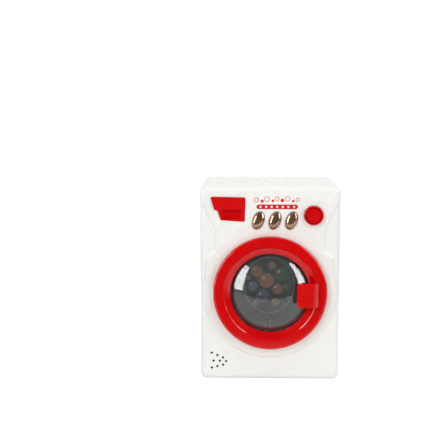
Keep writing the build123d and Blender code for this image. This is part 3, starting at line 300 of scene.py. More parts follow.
def newMaterial(name, **constants):
    mat = bpy.data.materials.new(name)
    mat.use_nodes = True
    tree = mat.node_tree
    tree.nodes.clear()
    shader = addNode(tree, "ShaderNodeBsdfPrincipled")
    addNode(tree, "ShaderNodeOutputMaterial", {}, {"Surface": shader.outputs[0]})
    for label, value in constants.items():
        shader.inputs[label].default_value = value
    return mat, tree, shader


def bump(tree, shader, height, strength, distance):
    node = addNode(tree, "ShaderNodeBump", {}, {"Height": height, "Strength": strength, "Distance": distance})
    tree.links.new(node.outputs[0], shader.inputs["Normal"])


def linear(r, g, b):
    # a colour as the eye reads it on a screen, 0 to 255, made linear
    return tuple((c / 255 / 12.92 if c / 255 <= 0.04045 else ((c / 255 + 0.055) / 1.055) ** 2.4)
                 for c in (r, g, b)) + (1.0,)


# moulded plastics
grainDepth = 0.00004


def makePlastic(name, look):
    mat, tree, shader = newMaterial(name, **look.get("shader", {}))
    skin = useGroup(tree, "skin", {"Colour": look["colour"], "Tint": look["tint"],
                                   "Tint Amount": look.get("tintAmount", 0.4),
                                   "Patch Scale": look.get("patches", 30.0), "Roughness": look["rough"],
                                   "Smudge": look.get("smudge", 0.08),
                                   "Grain Scale": look.get("grain", 1800.0)})
    colour, rough = skin["Colour"], skin["Roughness"]
    if look.get("wear"):
        worn = useGroup(tree, "edges", {"Colour": colour, "Worn Colour": look["worn"],
                                        "Amount": look["wear"]})
        colour = worn["Colour"]
        rough = plus(tree, rough, times(tree, worn["Mask"], 0.15))
    if look.get("dust"):
        dusty = useGroup(tree, "dust", {"Colour": colour, "Amount": look["dust"]})
        colour = dusty["Colour"]
        rough = plus(tree, rough, times(tree, dusty["Mask"], 0.4))
    if look.get("scratches"):
        lines = useGroup(tree, "scratches", {"Amount": look["scratches"]})
        rough = plus(tree, rough, lines["Mask"])
    feed(tree, shader, {"Base Color": colour, "Roughness": rough})
    bump(tree, shader, skin["Height"], look.get("bump", 0.15), grainDepth)
    return mat, tree, shader, colour


plastics = {
    "whiteShell": {"colour": linear(241, 242, 237), "tint": linear(236, 236, 230), "rough": 0.26,
                   "tintAmount": 0.20, "smudge": 0.010, "wear": 0.15, "worn": linear(250, 250, 249),
                   "dust": 0.004, "scratches": 0.006, "bump": 0.012, "shader": {"IOR": 1.46}},
    "redGloss": {"colour": linear(210, 3, 6), "tint": linear(196, 2, 5), "rough": 0.09, "smudge": 0.06,
                 "wear": 0.12, "worn": linear(224, 40, 34), "dust": 0.015, "scratches": 0.10, "bump": 0.05,
                 "shader": {"IOR": 1.40}},
    "greyLiner": {"colour": linear(176, 177, 178), "tint": linear(160, 160, 162), "rough": 0.42, "dust": 0.08,
                  "wear": 0.3, "worn": linear(200, 200, 200), "grain": 2600.0, "bump": 0.3},
    "drumGrey": {"colour": linear(56, 58, 61), "tint": linear(44, 46, 50), "rough": 0.30, "dust": 0.08,
                 "wear": 0.4, "worn": linear(150, 152, 155), "scratches": 0.2},
    "tubGrey": {"colour": linear(126, 128, 130), "tint": linear(110, 112, 115), "rough": 0.45, "dust": 0.15,
                "wear": 0.3, "worn": linear(160, 160, 160), "grain": 2600.0, "bump": 0.3},
    "trayWhite": {"colour": linear(236, 235, 230), "tint": linear(224, 222, 214), "rough": 0.36, "dust": 0.05,
                  "wear": 0.3, "worn": linear(248, 248, 246)},
    "gearWhite": {"colour": linear(226, 224, 212), "tint": linear(206, 202, 184), "rough": 0.34,
                  "smudge": 0.2, "wear": 0.5, "worn": linear(242, 241, 234), "patches": 90.0},
    "resistorTan": {"colour": linear(206, 178, 134), "tint": linear(176, 140, 96), "rough": 0.35,
                    "tintAmount": 0.8, "patches": 420.0},
    "blackPlastic": {"colour": linear(38, 38, 41), "tint": linear(28, 28, 30), "rough": 0.42, "dust": 0.12,
                     "wear": 0.5, "worn": linear(84, 84, 86), "grain": 3200.0, "bump": 0.35},
}
mats = {name: makePlastic(name, look)[0] for name, look in plastics.items()}
print("plastics made:", ", ".join(mats))

# the front shell's own finish: the white plastic, with a plain red bar and bubbles printed above the buttons,
# and painted shade inside the sound holes
panelPrint = {"ink": linear(206, 22, 24), "bar": (0.0070, 0.1797), "barHalf": (0.0210, 0.0024),
              "bubbles": [(-14.2, 186.6, 2.5, 0.72), (-8.3, 185.4, 1.6, 0.0), (-3.4, 187.6, 2.7, 0.78),
                          (2.6, 185.8, 1.4, 0.0), (6.9, 188.0, 2.2, 0.70), (12.1, 186.2, 1.8, 0.0),
                          (17.4, 187.8, 2.6, 0.76), (23.0, 185.6, 1.3, 0.0), (27.6, 187.0, 2.0, 0.70)],
              "barDots": [-10.0, -4.2, 1.4, 7.0, 12.6, 18.2, 24.0],
              "dot": 1.1, "dotInk": linear(240, 238, 234), "blur": 0.0001, "anyDepth": 9.0,
              # holePaintedShade is painted shade for the sound holes; holeR, holeFrom and holeTo give its
              # radius and the depths over which it fades in
              "holePaintedShade": linear(16, 16, 16), "holeR": 1.27, "holeFrom": 2.1, "holeTo": 1.8,
              "tip": (8.2, -0.5)}
soundHoles = [(0, 0), (-6.4, 0.3), (-12.9, 0.3)]      # the arrow of holes, from its tip
for k in range(3):
    soundHoles += [(-3.2 - 5.75 * k, 3.8 + 2.45 * k), (-3.2 - 5.75 * k, -3.8 - 1.6 * k)]


def makePrintedShellHoleShade():
    mat, tree, shader, colour = makePlastic("printedShellHoleShade", plastics["whiteShell"])
    at = place(tree)
    middle = (panelPrint["bar"][0], 0.0, panelPrint["bar"][1])
    halfW, halfH = panelPrint["barHalf"]
    # how far a point lies from the bar's middle line, whatever its depth
    off = vectors(tree, "ABSOLUTE", vectors(tree, "SUBTRACT", at, middle))
    off = vectors(tree, "SUBTRACT", off, (halfW - halfH, panelPrint["anyDepth"], 0.0))
    away = vectors(tree, "LENGTH", vectors(tree, "MAXIMUM", off, (0, 0, 0)))
    inBar = slope(tree, away, halfH + panelPrint["blur"], halfH - panelPrint["blur"])
    # only on the face that looks forward
    side = axes(tree, at)["Y"]
    onFront = maths(tree, "LESS_THAN", side, cadLow.y * 0.5)
    colour = mixColour(tree, times(tree, inBar, onFront), colour, panelPrint["ink"])
    for x in panelPrint["barDots"]:
        mark = useGroup(tree, "mark", {"Colour": colour, "Ink And Shade": panelPrint["dotInk"],
                                       "Radius": panelPrint["dot"] * mm, "Cover": onFront,
                                       "Centre": (x * mm, 0, panelPrint["bar"][1])})
        colour = mark["Colour"]
    for x, z, r, hole in panelPrint["bubbles"]:
        mark = useGroup(tree, "mark", {"Colour": colour, "Ink And Shade": panelPrint["ink"], "Radius": r * mm,
                                       "Hole": hole, "Cover": onFront, "Centre": (x * mm, 0, z * mm)})
        colour = mark["Colour"]
    # painted shade: near black is painted on the walls of the sound holes beyond a set depth, standing in for
    # the shade deep inside them
    low, high, midX, midZ = middleOf("speaker")
    tipX, tipZ = midX + panelPrint["tip"][0] * mm, midZ + panelPrint["tip"][1] * mm
    inside = ramp(tree, side, low.y - panelPrint["holeFrom"] * mm, low.y - panelPrint["holeTo"] * mm)
    for x, z in soundHoles:
        mark = useGroup(tree, "mark", {"Colour": colour, "Ink And Shade": panelPrint["holePaintedShade"], "Cover": inside,
                                       "Radius": panelPrint["holeR"] * mm,
                                       "Centre": (tipX + x * mm, 0, tipZ + z * mm)})
        colour = mark["Colour"]
    feed(tree, shader, {"Base Color": colour})
    return mat


mats["printedShellHoleShade"] = makePrintedShellHoleShade()

# bronze-coloured, vacuum-metallised buttons
bronzeLook = {"colour": linear(160, 126, 100), "dull": linear(134, 102, 80), "worn": linear(168, 132, 100),
              "rough": 0.09}


def makeBronze():
    mat, tree, shader = newMaterial("bronzeGloss", Metallic=0.72,
                                    **{"Coat Weight": 0.5, "Coat Roughness": 0.03})
    at = place(tree)
    patches = ramp(tree, noise(tree, at, 160.0, 4.0, 0.6), 0.38, 0.68)
    colour = mixColour(tree, patches, bronzeLook["colour"], bronzeLook["dull"])
    worn = useGroup(tree, "edges", {"Colour": colour, "Worn Colour": bronzeLook["worn"], "Amount": 0.5})
    lines = useGroup(tree, "scratches", {"Amount": 0.12})
    rough = plus(tree, lines["Mask"], times(tree, patches, 0.07))
    feed(tree, shader, {"Base Color": worn["Colour"], "Roughness": plus(tree, rough, bronzeLook["rough"])})
    bump(tree, shader, noise(tree, at, 420.0, 2.0), 0.12, 0.00004)
    return mat


mats["bronzeGloss"] = makeBronze()

# clear polystyrene of the domed window
domeLook = {"colour": linear(243, 247, 246), "hazy": linear(232, 238, 238), "rough": 0.015, "smears": 0.06}


def makeClear():
    mat, tree, shader = newMaterial("clearDome", IOR=1.49, **{"Transmission Weight": 1.0, "Metallic": 0.0})
    at = place(tree)
    haze = ramp(tree, noise(tree, at, 70.0, 4.0, 0.6), 0.50, 0.78)
    colour = mixColour(tree, haze, domeLook["colour"], domeLook["hazy"])
    lines = useGroup(tree, "scratches", {"Amount": 0.10})
    rough = plus(tree, times(tree, haze, domeLook["smears"]), lines["Mask"])
    feed(tree, shader, {"Base Color": colour, "Roughness": plus(tree, rough, domeLook["rough"])})
    bump(tree, shader, noise(tree, at, 90.0, 1.0), 0.05, 0.00005)
    return mat


mats["clearDome"] = makeClear()

# the picture plate in the drum: plain bubbles over a soft wave, with a pale line round its edge that is a
# painted highlight
platePrint = {"rim": 1.5, "rimPaintedHighlight": linear(112, 116, 118), "rimBlur": 0.004, "level": 91.3,
              "ground": linear(34, 42, 44), "wave": linear(48, 66, 62), "shine": linear(176, 174, 170),
              "bubbles": [(-13, 106, 6.5, linear(146, 106, 78)), (3, 112, 4.2, linear(138, 112, 92)),
                          (13, 103, 7.2, linear(58, 86, 62)), (-3, 96, 8.0, linear(150, 102, 74)),
                          (-17, 90, 5.2, linear(96, 100, 122)), (9, 87, 5.6, linear(142, 84, 84)),
                          (18, 89, 3.6, linear(66, 96, 66)), (-7, 79, 7.0, linear(84, 90, 116)),
                          (7, 73, 4.6, linear(138, 104, 84)), (-14, 72, 3.2, linear(128, 84, 86)),
                          (-22, 99, 2.6, linear(104, 110, 116)), (21, 77, 2.4, linear(98, 104, 110))]}


def makePlate():
    mat, tree, shader = newMaterial("printedPlate", IOR=1.42)
    at = place(tree)
    low, high, midX, midZ = middleOf("picture_plate")
    lift = midZ / mm - platePrint["level"]
    wave = noise(tree, at, 34.0, 2.0)
    tone = ramp(tree, wave, 0.42, 0.60)
    colour = mixColour(tree, tone, platePrint["ground"], platePrint["wave"])
    for x, z, r, ink in platePrint["bubbles"]:
        mark = useGroup(tree, "mark", {"Colour": colour, "Ink And Shade": ink, "Radius": r * mm,
                                       "Centre": (x * mm, 0, (z + lift) * mm)})
        shine = useGroup(tree, "mark", {"Colour": mark["Colour"], "Ink And Shade": platePrint["shine"],
                                        "Radius": r * 0.22 * mm, "Cover": 0.7,
                                        "Centre": ((x - r * 0.36) * mm, 0, (z + r * 0.38 + lift) * mm)})
        colour = shine["Colour"]
    # painted highlight: a thin bright line round the oval, standing in for light on the rim
    halfX, halfZ = (high.x - low.x) / 2, (high.z - low.z) / 2
    off = vectors(tree, "SUBTRACT", at, (midX, 0, midZ))
    off = vectors(tree, "MULTIPLY", off, (1 / halfX, 0, 1 / halfZ))
    away = vectors(tree, "LENGTH", off)
    inner = 1 - platePrint["rim"] * mm / halfX
    rim = slope(tree, away, inner - platePrint["rimBlur"], inner + platePrint["rimBlur"])
    smears = ramp(tree, noise(tree, at, 60.0, 4.0, 0.6), 0.4, 0.7, 0.42, 0.58)
    feed(tree, shader, {"Base Color": mixColour(tree, rim, colour, platePrint["rimPaintedHighlight"]),
                        "Roughness": smears})
    bump(tree, shader, noise(tree, at, 1500.0, 2.0), 0.1, 0.00003)
    return mat


mats["printedPlate"] = makePlate()

# metals
metals = {
    "steel": {"colour": linear(190, 190, 192), "dull": linear(150, 146, 140), "rough": 0.24},
    "zinc": {"colour": linear(196, 194, 186), "dull": linear(160, 156, 142), "rough": 0.32},
    "nickel": {"colour": linear(206, 202, 192), "dull": linear(170, 164, 150), "rough": 0.20},
    "bronzeBush": {"colour": linear(198, 150, 88), "dull": linear(150, 108, 62), "rough": 0.38},
    "motorCan": {"colour": linear(176, 178, 180), "dull": linear(140, 140, 140), "rough": 0.28,
                 "along": (2400.0, 40.0, 40.0)},
}


def makeMetal(name, look):
    mat, tree, shader = newMaterial(name, Metallic=1.0)
    metal = useGroup(tree, "metal", {"Colour": look["colour"], "Dull Colour": look["dull"], "Dullness": 0.6,
                                     "Roughness": look["rough"],
                                     "Along": look.get("along", (60.0, 2600.0, 60.0))})
    worn = useGroup(tree, "edges", {"Colour": metal["Colour"], "Worn Colour": linear(226, 226, 226),
                                    "Amount": 0.5})
    feed(tree, shader, {"Base Color": worn["Colour"], "Roughness": metal["Roughness"]})
    bump(tree, shader, metal["Height"], 0.2, 0.00002)
    return mat


for name, look in metals.items():
    mats[name] = makeMetal(name, look)

# parts with a finish of their own
boardLook = {"mask": linear(26, 96, 52), "trace": linear(40, 122, 68), "pad": linear(196, 190, 168)}


def makeBoard():
    mat, tree, shader = newMaterial("boardGreen", IOR=1.5)
    at = place(tree)
    flat = addNode(tree, "ShaderNodeMapping", {}, {"Vector": at,
                                                   "Rotation": (math.radians(90), 0, 0)}).outputs[0]
    traces = addNode(tree, "ShaderNodeTexBrick", {"offset": 0.37, "offset_frequency": 3}, {
        "Vector": flat, "Scale": 150.0, "Mortar Size": 0.05, "Mortar Smooth": 0.1, "Row Height": 0.35,
        "Brick Width": 1.7})
    colour = mixColour(tree, traces.outputs["Fac"], boardLook["mask"], boardLook["trace"])
    dots = addNode(tree, "ShaderNodeTexVoronoi", {"feature": "F1"}, {
        "Vector": flat, "Scale": 260.0, "Randomness": 0.25}).outputs["Distance"]
    gate = ramp(tree, noise(tree, at, 90.0, 1.0), 0.54, 0.56)
    pads = times(tree, ramp(tree, dots, 0.20, 0.16), gate)
    colour = mixColour(tree, pads, colour, boardLook["pad"])
    dusty = useGroup(tree, "dust", {"Colour": colour, "Amount": 0.15})
    rough = ramp(tree, noise(tree, at, 300.0, 3.0), 0.3, 0.7, 0.22, 0.38)
    feed(tree, shader, {"Base Color": dusty["Colour"], "Roughness": rough, "Metallic": pads})
    bump(tree, shader, traces.outputs["Fac"], 0.25, 0.00005)
    return mat


mats["boardGreen"] = makeBoard()

# cells: a plain dark sleeve with a copper-coloured band near the button end, in mm from the middle
cellLook = {"sleeve": linear(34, 36, 42), "band": linear(196, 118, 60), "ends": linear(196, 194, 188),
            "bandFrom": 14.6, "bandTo": 22.6, "endFrom": 24.3, "tint": linear(60, 60, 64)}


def makeCells():
    mat, tree, shader = newMaterial("cellSleeve", IOR=1.5)
    at = place(tree)
    along = maths(tree, "ABSOLUTE", axes(tree, at)["X"])
    begin, stop = cellLook["bandFrom"], cellLook["bandTo"]
    band = times(tree, ramp(tree, along, begin * mm, (begin + 0.2) * mm),
                 ramp(tree, along, stop * mm, (stop - 0.2) * mm))
    colour = mixColour(tree, band, cellLook["sleeve"], cellLook["band"])
    ends = ramp(tree, along, cellLook["endFrom"] * mm, (cellLook["endFrom"] + 0.1) * mm)
    colour = mixColour(tree, ends, colour, cellLook["ends"])
    skin = useGroup(tree, "skin", {"Colour": colour, "Tint": cellLook["tint"], "Tint Amount": 0.15,
                                   "Roughness": 0.28, "Smudge": 0.15})
    feed(tree, shader, {"Base Color": skin["Colour"], "Roughness": skin["Roughness"], "Metallic": ends})
    bump(tree, shader, skin["Height"], 0.2, 0.00004)
    return mat


mats["cellSleeve"] = makeCells()

# the speaker: dark pressed cone behind a plated basket and its magnet
speakerLook = {"cone": linear(24, 23, 23), "basket": linear(168, 168, 170), "magnet": linear(70, 70, 74),
               "ripples": 7200.0, "magnetFrom": 4.2, "coneTo": 3.4, "fade": 0.2}


def makeSpeaker():
    mat, tree, shader = newMaterial("speakerParts")
    low, high, midX, midZ = middleOf("speaker")
    at = place(tree)
    away = vectors(tree, "MULTIPLY", vectors(tree, "SUBTRACT", at, (midX, 0, midZ)), (1, 0, 1))
    reach = vectors(tree, "LENGTH", away)
    outer = (high.x - low.x) / 2
    rings = maths(tree, "SINE", times(tree, reach, speakerLook["ripples"]))
    inCone = ramp(tree, reach, outer * 0.99, outer * 0.97)
    depth = axes(tree, at)["Y"]
    behind, ahead, fade = (speakerLook[key] for key in ("magnetFrom", "coneTo", "fade"))
    atBack = ramp(tree, depth, high.y - behind * mm, high.y - (behind - fade) * mm)
    metal = mixColour(tree, atBack, speakerLook["basket"], speakerLook["magnet"])
    inFront = times(tree, inCone, ramp(tree, depth, low.y + ahead * mm, low.y + (ahead - fade) * mm))
    colour = mixColour(tree, inFront, metal, speakerLook["cone"])
    rough = ramp(tree, noise(tree, at, 500.0, 3.0), 0.3, 0.7, 0.35, 0.6)
    feed(tree, shader, {"Base Color": colour, "Roughness": rough, "Metallic": minus(tree, 1.0, inFront)})
    bump(tree, shader, rings, 0.4, 0.0001)
    return mat


mats["speakerParts"] = makeSpeaker()
print("materials made:", len(mats))

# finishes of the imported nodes
finishes = {
    "printedShellHoleShade": ["front_shell"],
    "whiteShell": ["rear_shell", "battery_cover"],
    "redGloss": ["door_ring", "door_handle", "drawer_front", "start_button"],
    "bronzeGloss": ["oval_button_a", "oval_button_b", "oval_button_c"],
    "clearDome": ["door_dome"],
    "greyLiner": ["door_liner", "button_carrier", "drawer_guide", "motor_sleeve"],
    "drumGrey": ["drum"],
    "tubGrey": ["tub"],
    "printedPlate": ["picture_plate"],
    "trayWhite": ["drawer_tray"],
    "gearWhite": ["drum_gear", "idler_gear", "motor_pinion"],
    "steel": ["drum_axle", "idler_axle", "motor_shaft", "hinge_pin", "axle_clip", "oval_spring_a",
              "oval_spring_b", "oval_spring_c", "start_spring", "catch_leaf"],
    "zinc": ["motor_plate", "speaker_clamp", "case_screws", "door_screws", "board_screws", "tub_screws",
             "plate_screws", "sleeve_screws", "speaker_screws", "cover_screw"],
    "nickel": ["battery_contacts"],
    "bronzeBush": ["drum_bush"],
    "motorCan": ["motor"],
    "boardGreen": ["circuit_board"],
    "cellSleeve": ["battery_cells"],
    "speakerParts": ["speaker"],
    "blackPlastic": ["tact_switches", "power_switch", "power_slider"],
}
for matName, members in finishes.items():
    for nodeName in members:
        mesh = nodes[nodeName].data
        for i in range(len(mesh.materials)):
            mesh.materials[i] = mats[matName]
left = sorted(set(nodes) - {n for members in finishes.values() for n in members})
print("nodes without a finish:", left)


# tools for pieces that repeat
def newTree(name, sizes):
    tree = bpy.data.node_groups.new(name, "GeometryNodeTree")
    tree.interface.new_socket(name="Spots", in_out="INPUT", socket_type="NodeSocketGeometry")
    for label in sizes:
        kind = "NodeSocketInt" if label.endswith("Count") else "NodeSocketFloat"
        tree.interface.new_socket(name=label, in_out="INPUT", socket_type=kind)
    tree.interface.new_socket(name="Material", in_out="INPUT", socket_type="NodeSocketMaterial")
    tree.interface.new_socket(name="Geometry", in_out="OUTPUT", socket_type="NodeSocketGeometry")
    return tree, tree.nodes.new("NodeGroupInput").outputs, tree.nodes.new("NodeGroupOutput")


def endTree(tree, given, made, shape):
    real = shaped(tree, "RealizeInstances", {"Geometry": shape})
    painted = shaped(tree, "SetMaterial", {"Geometry": real, "Material": given["Material"]})
    feed(tree, made, {"Geometry": painted})


def shaped(tree, kind, inputs=None, settings=None):
    return addNode(tree, "GeometryNode" + kind, settings, inputs).outputs[0]


def position(tree):
    return shaped(tree, "InputPosition")


def joined(tree, *shapes):
    node = tree.nodes.new("GeometryNodeJoinGeometry")
    for shape in shapes:
        tree.links.new(shape, node.inputs[0])
    return node.outputs[0]


def moved(tree, shape, x=0.0, y=0.0, z=0.0):
    where = vector(tree, x, y, z)
    return shaped(tree, "Transform", {"Geometry": shape, "Translation": where})


def onSpots(tree, given, shape, spin, seed=3):
    # one at each spot, its own axis turned to point backwards, and spun about it by up to spin
    chance = addNode(tree, "FunctionNodeRandomValue", {"data_type": "FLOAT"}, {"Seed": seed})
    chance.inputs[2].default_value, chance.inputs[3].default_value = 0.0, spin
    angles = vector(tree, -math.pi / 2, chance.outputs[1], 0.0)
    turn = addNode(tree, "FunctionNodeEulerToRotation", {}, {0: angles}).outputs[0]
    return shaped(tree, "InstanceOnPoints", {"Points": given["Spots"], "Instance": shape, "Rotation": turn})


def growPiece(name, tree, spots, sizes, matName):
    seedMesh = bpy.data.meshes.new(name + "Spots")
    seedMesh.from_pydata([tuple(p) for p in spots], [], [])
    host = addObject(name + "Host", seedMesh)
    grower = host.modifiers.new("grow", "NODES")
    grower.node_group = tree
    keys = {item.name: item.identifier for item in tree.interface.items_tree if item.in_out == "INPUT"}
    for label, value in sizes.items():
        grower[keys[label]] = value
    grower[keys["Material"]] = mats[matName]
    bpy.context.view_layer.update()
    mesh = bpy.data.meshes.new_from_object(host.evaluated_get(bpy.context.evaluated_depsgraph_get()))
    host.modifiers.remove(grower)
    bpy.data.objects.remove(host)
    return placePiece(name, mesh, matName)


def placePiece(name, mesh, matName):
    if not mesh.materials:
        mesh.materials.append(mats[matName])
    mesh.shade_smooth()
    mesh.set_sharp_from_angle(angle=math.radians(34))
    piece = addObject(name, mesh)
    return piece


def islands(nodeName):
    # the separate solids of a node: the middle in x and z, front and back in y, and the radius
    form = bmesh.new()
    form.from_mesh(nodes[nodeName].data)
    bmesh.ops.remove_doubles(form, verts=form.verts, dist=1e-6)
    waiting, found = set(form.verts), []
    while waiting:
        group, edge = set(), [waiting.pop()]
        while edge:
            vert = edge.pop()
            group.add(vert)
            for link in vert.link_edges:
                other = link.other_vert(vert)
                if other in waiting:
                    waiting.discard(other)
                    edge.append(other)
        low = [min(v.co[i] for v in group) for i in range(3)]
        high = [max(v.co[i] for v in group) for i in range(3)]
        found.append({"x": (low[0] + high[0]) / 2, "z": (low[2] + high[2]) / 2, "front": low[1],
                      "back": high[1], "radius": (high[0] - low[0]) / 2})
    form.free()
    return sorted(found, key=lambda f: (round(f["x"], 4), round(f["z"], 4)))


# screws with a pan head, a cross recess and a thread; they replace the plain ones
screwSets = {"case_screws": (1.25, 1.9), "door_screws": (1.0, 0.8), "board_screws": (1.0, 1.5),
             "tub_screws": (1.2, 1.6), "plate_screws": (1.0, 1.5), "sleeve_screws": (1.0, 1.4),
             "speaker_screws": (1.0, 1.4), "cover_screw": (1.0, 1.0)}      # shank radius and head height, mm
screwShape = {"pitch": 0.9, "core": 0.80, "tip": 1.0, "slotLong": 1.05, "slotWide": 0.24, "slotDeep": 0.62,
              "headSquare": 0.42, "crownSquare": 0.55, "tipThin": 0.3, "rodRise": 0.4, "threadShort": 0.4}


def makeScrewTree():
    tree, given, made = newTree("crossScrew", ["Shank Radius", "Length", "Head Radius", "Head Height",
                                               "Pitch"])
    shankR, length = given["Shank Radius"], given["Length"]
    headR, headH = given["Head Radius"], given["Head Height"]
    # the head is a ball squared off above its seat and flat below it
    ball = shaped(tree, "MeshUVSphere", {"Segments": 32, "Rings": 20, "Radius": 1.0})
    at = position(tree)
    parts = axes(tree, at)
    reach = vectors(tree, "LENGTH", vectors(tree, "MULTIPLY", at, (1, 1, 0)))
    grow = maths(tree, "POWER", maths(tree, "MAXIMUM", reach, 0.001), screwShape["headSquare"] - 1.0)
    grow = times(tree, grow, headR)
    lift = maths(tree, "POWER", maths(tree, "MAXIMUM", parts[2], 0.0), screwShape["crownSquare"])
    target = vector(tree, times(tree, parts[0], grow), times(tree, parts[1], grow), times(tree, lift, headH))
    head = shaped(tree, "SetPosition", {"Geometry": ball, "Position": target})
    head = shaped(tree, "MergeByDistance", {"Geometry": head, "Distance": 0.000004})
    # two crossed arms are cut from it
    arms = []
    for turned in (False, True):
        sides = [times(tree, headR, screwShape["slotLong"]), times(tree, headR, screwShape["slotWide"])]
        if turned:
            sides.reverse()
        size = vector(tree, sides[0], sides[1], headH)
        arm = shaped(tree, "MeshCube", {"Size": size})
        arms.append(moved(tree, arm, z=times(tree, headH, 1.5 - screwShape["slotDeep"])))
    cut = addNode(tree, "GeometryNodeMeshBoolean", {"operation": "DIFFERENCE", "solver": "EXACT"},
                  {"Mesh 1": head})
    for arm in arms:
        tree.links.new(arm, cut.inputs["Mesh 2"])
    # shank, tip and thread
    core = times(tree, shankR, screwShape["core"])
    tip = screwShape["tip"] * mm
    smooth = minus(tree, length, tip)
    rise = times(tree, headH, screwShape["rodRise"])
    rodShape = shaped(tree, "MeshCylinder", {
        "Vertices": 24, "Side Segments": 1, "Radius": core, "Depth": plus(tree, smooth, rise)})
    rodShape = moved(tree, rodShape, z=plus(tree, times(tree, smooth, -0.5),
                                            times(tree, headH, screwShape["rodRise"] / 2)))
    point = shaped(tree, "MeshCone", {"Vertices": 24, "Side Segments": 1, "Radius Top": core,
                                      "Radius Bottom": times(tree, core, screwShape["tipThin"]),
                                      "Depth": tip})
    point = moved(tree, point, z=times(tree, length, -1.0))
    threaded = minus(tree, smooth, screwShape["threadShort"] * mm)
    turns = maths(tree, "DIVIDE", threaded, given["Pitch"])
    coil = shaped(tree, "CurveSpiral", {"Resolution": 20, "Rotations": turns, "Start Radius": core,
                                        "End Radius": core, "Height": threaded})
    ridge = shaped(tree, "CurvePrimitiveCircle", {"Resolution": 4, "Radius": minus(tree, shankR, core)})
    thread = shaped(tree, "CurveToMesh", {"Curve": coil, "Profile Curve": ridge, "Fill Caps": True})
    thread = moved(tree, thread, z=times(tree, smooth, -1.0))
    screw = joined(tree, cut.outputs[0], rodShape, point, thread)
    endTree(tree, given, made, onSpots(tree, given, screw, 1.5))
    return tree


screwTree = makeScrewTree()
for nodeName, (shankR, headH) in screwSets.items():
    found = islands(nodeName)
    first = found[0]
    spots = [(f["x"], f["back"] - headH * mm, f["z"]) for f in found]
    piece = growPiece(nodeName.replace("_", "") + "Cross", screwTree, spots, {
        "Shank Radius": shankR * mm, "Length": first["back"] - first["front"] - headH * mm,
        "Head Radius": first["radius"], "Head Height": headH * mm, "Pitch": screwShape["pitch"] * mm}, "zinc")
    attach(piece, "door" if nodeName == "door_screws" else "cabinet")
    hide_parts(nodeName)
    print("screws:", nodeName, len(found))

# return springs of the buttons, with closed end turns
springShape = {"wire": 0.6, "turns": 5.0, "press": 1.5}


def makeSpringTree():
    tree, given, made = newTree("coilSpring", ["Coil Radius", "Wire Radius", "Height", "Turns"])
    wireR, height = given["Wire Radius"], given["Height"]
    coil = shaped(tree, "CurveSpiral", {"Resolution": 28, "Rotations": given["Turns"],
                                        "Start Radius": given["Coil Radius"],
                                        "End Radius": given["Coil Radius"], "Height": height})
    along = addNode(tree, "GeometryNodeSplineParameter").outputs["Factor"]
    eased = ramp(tree, along, 0.04, 0.96)
    inner = minus(tree, height, times(tree, wireR, 2.0))
    level = plus(tree, times(tree, eased, inner), wireR)
    at = axes(tree, position(tree))
    target = vector(tree, at[0], at[1], level)
    coil = shaped(tree, "SetPosition", {"Geometry": coil, "Position": target})
    wireRing = shaped(tree, "CurvePrimitiveCircle", {"Resolution": 12, "Radius": wireR})
    wire = shaped(tree, "CurveToMesh", {"Curve": coil, "Profile Curve": wireRing, "Fill Caps": True})
    endTree(tree, given, made, onSpots(tree, given, wire, 0.0))
    return tree


springTree = makeSpringTree()
for button in ("oval_button_a", "oval_button_b", "oval_button_c", "start_button"):
    nodeName = button.replace("_button", "_spring")
    low, high, x, z = middleOf(nodeName)
    height, wireR = high.y - low.y, springShape["wire"] * mm / 2
    piece = growPiece(nodeName.replace("_", "") + "Coil", springTree, [(x, low.y, z)],
                      {"Coil Radius": (high.x - low.x) / 2 - wireR, "Wire Radius": wireR, "Height": height,
                       "Turns": springShape["turns"]}, "steel")
    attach(piece, "cabinet")
    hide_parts(nodeName)
    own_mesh(piece)
    print("spring:", nodeName, round(height / mm, 2), "mm")

# small parts behind the circuit board
boardParts = {"joint": 0.75, "jointHigh": 0.7, "tactPins": (3.25, 2.25),
              "resistors": [(-6, -18), (6, -18), (-6, 17)],
              "bodyR": 1.1, "bodyLong": 5.6, "leadR": 0.28, "leadOut": 2.4, "stand": 1.6,
              "cans": [(4.0, 9.0, 2.5, 6.0), (11.0, 9.5, 2.0, 5.0)], "blob": (-14.0, -2.0, 5.2, 1.5)}


def makeJointTree():
    tree, given, made = newTree("solderJoint", ["Radius", "Height"])
    ball = shaped(tree, "MeshUVSphere", {"Segments": 12, "Rings": 8, "Radius": 1.0})
    at = axes(tree, position(tree))
    # a fillet that climbs to the cut lead: narrower towards the top
    top = maths(tree, "MAXIMUM", at[2], 0.0)
    waist = times(tree, minus(tree, 1.0, times(tree, top, 0.35)), given["Radius"])
    target = vector(tree, times(tree, at[0], waist), times(tree, at[1], waist),
                    times(tree, top, given["Height"]))
    drop = shaped(tree, "SetPosition", {"Geometry": ball, "Position": target})
    endTree(tree, given, made, onSpots(tree, given, drop, 3.0))
    return tree


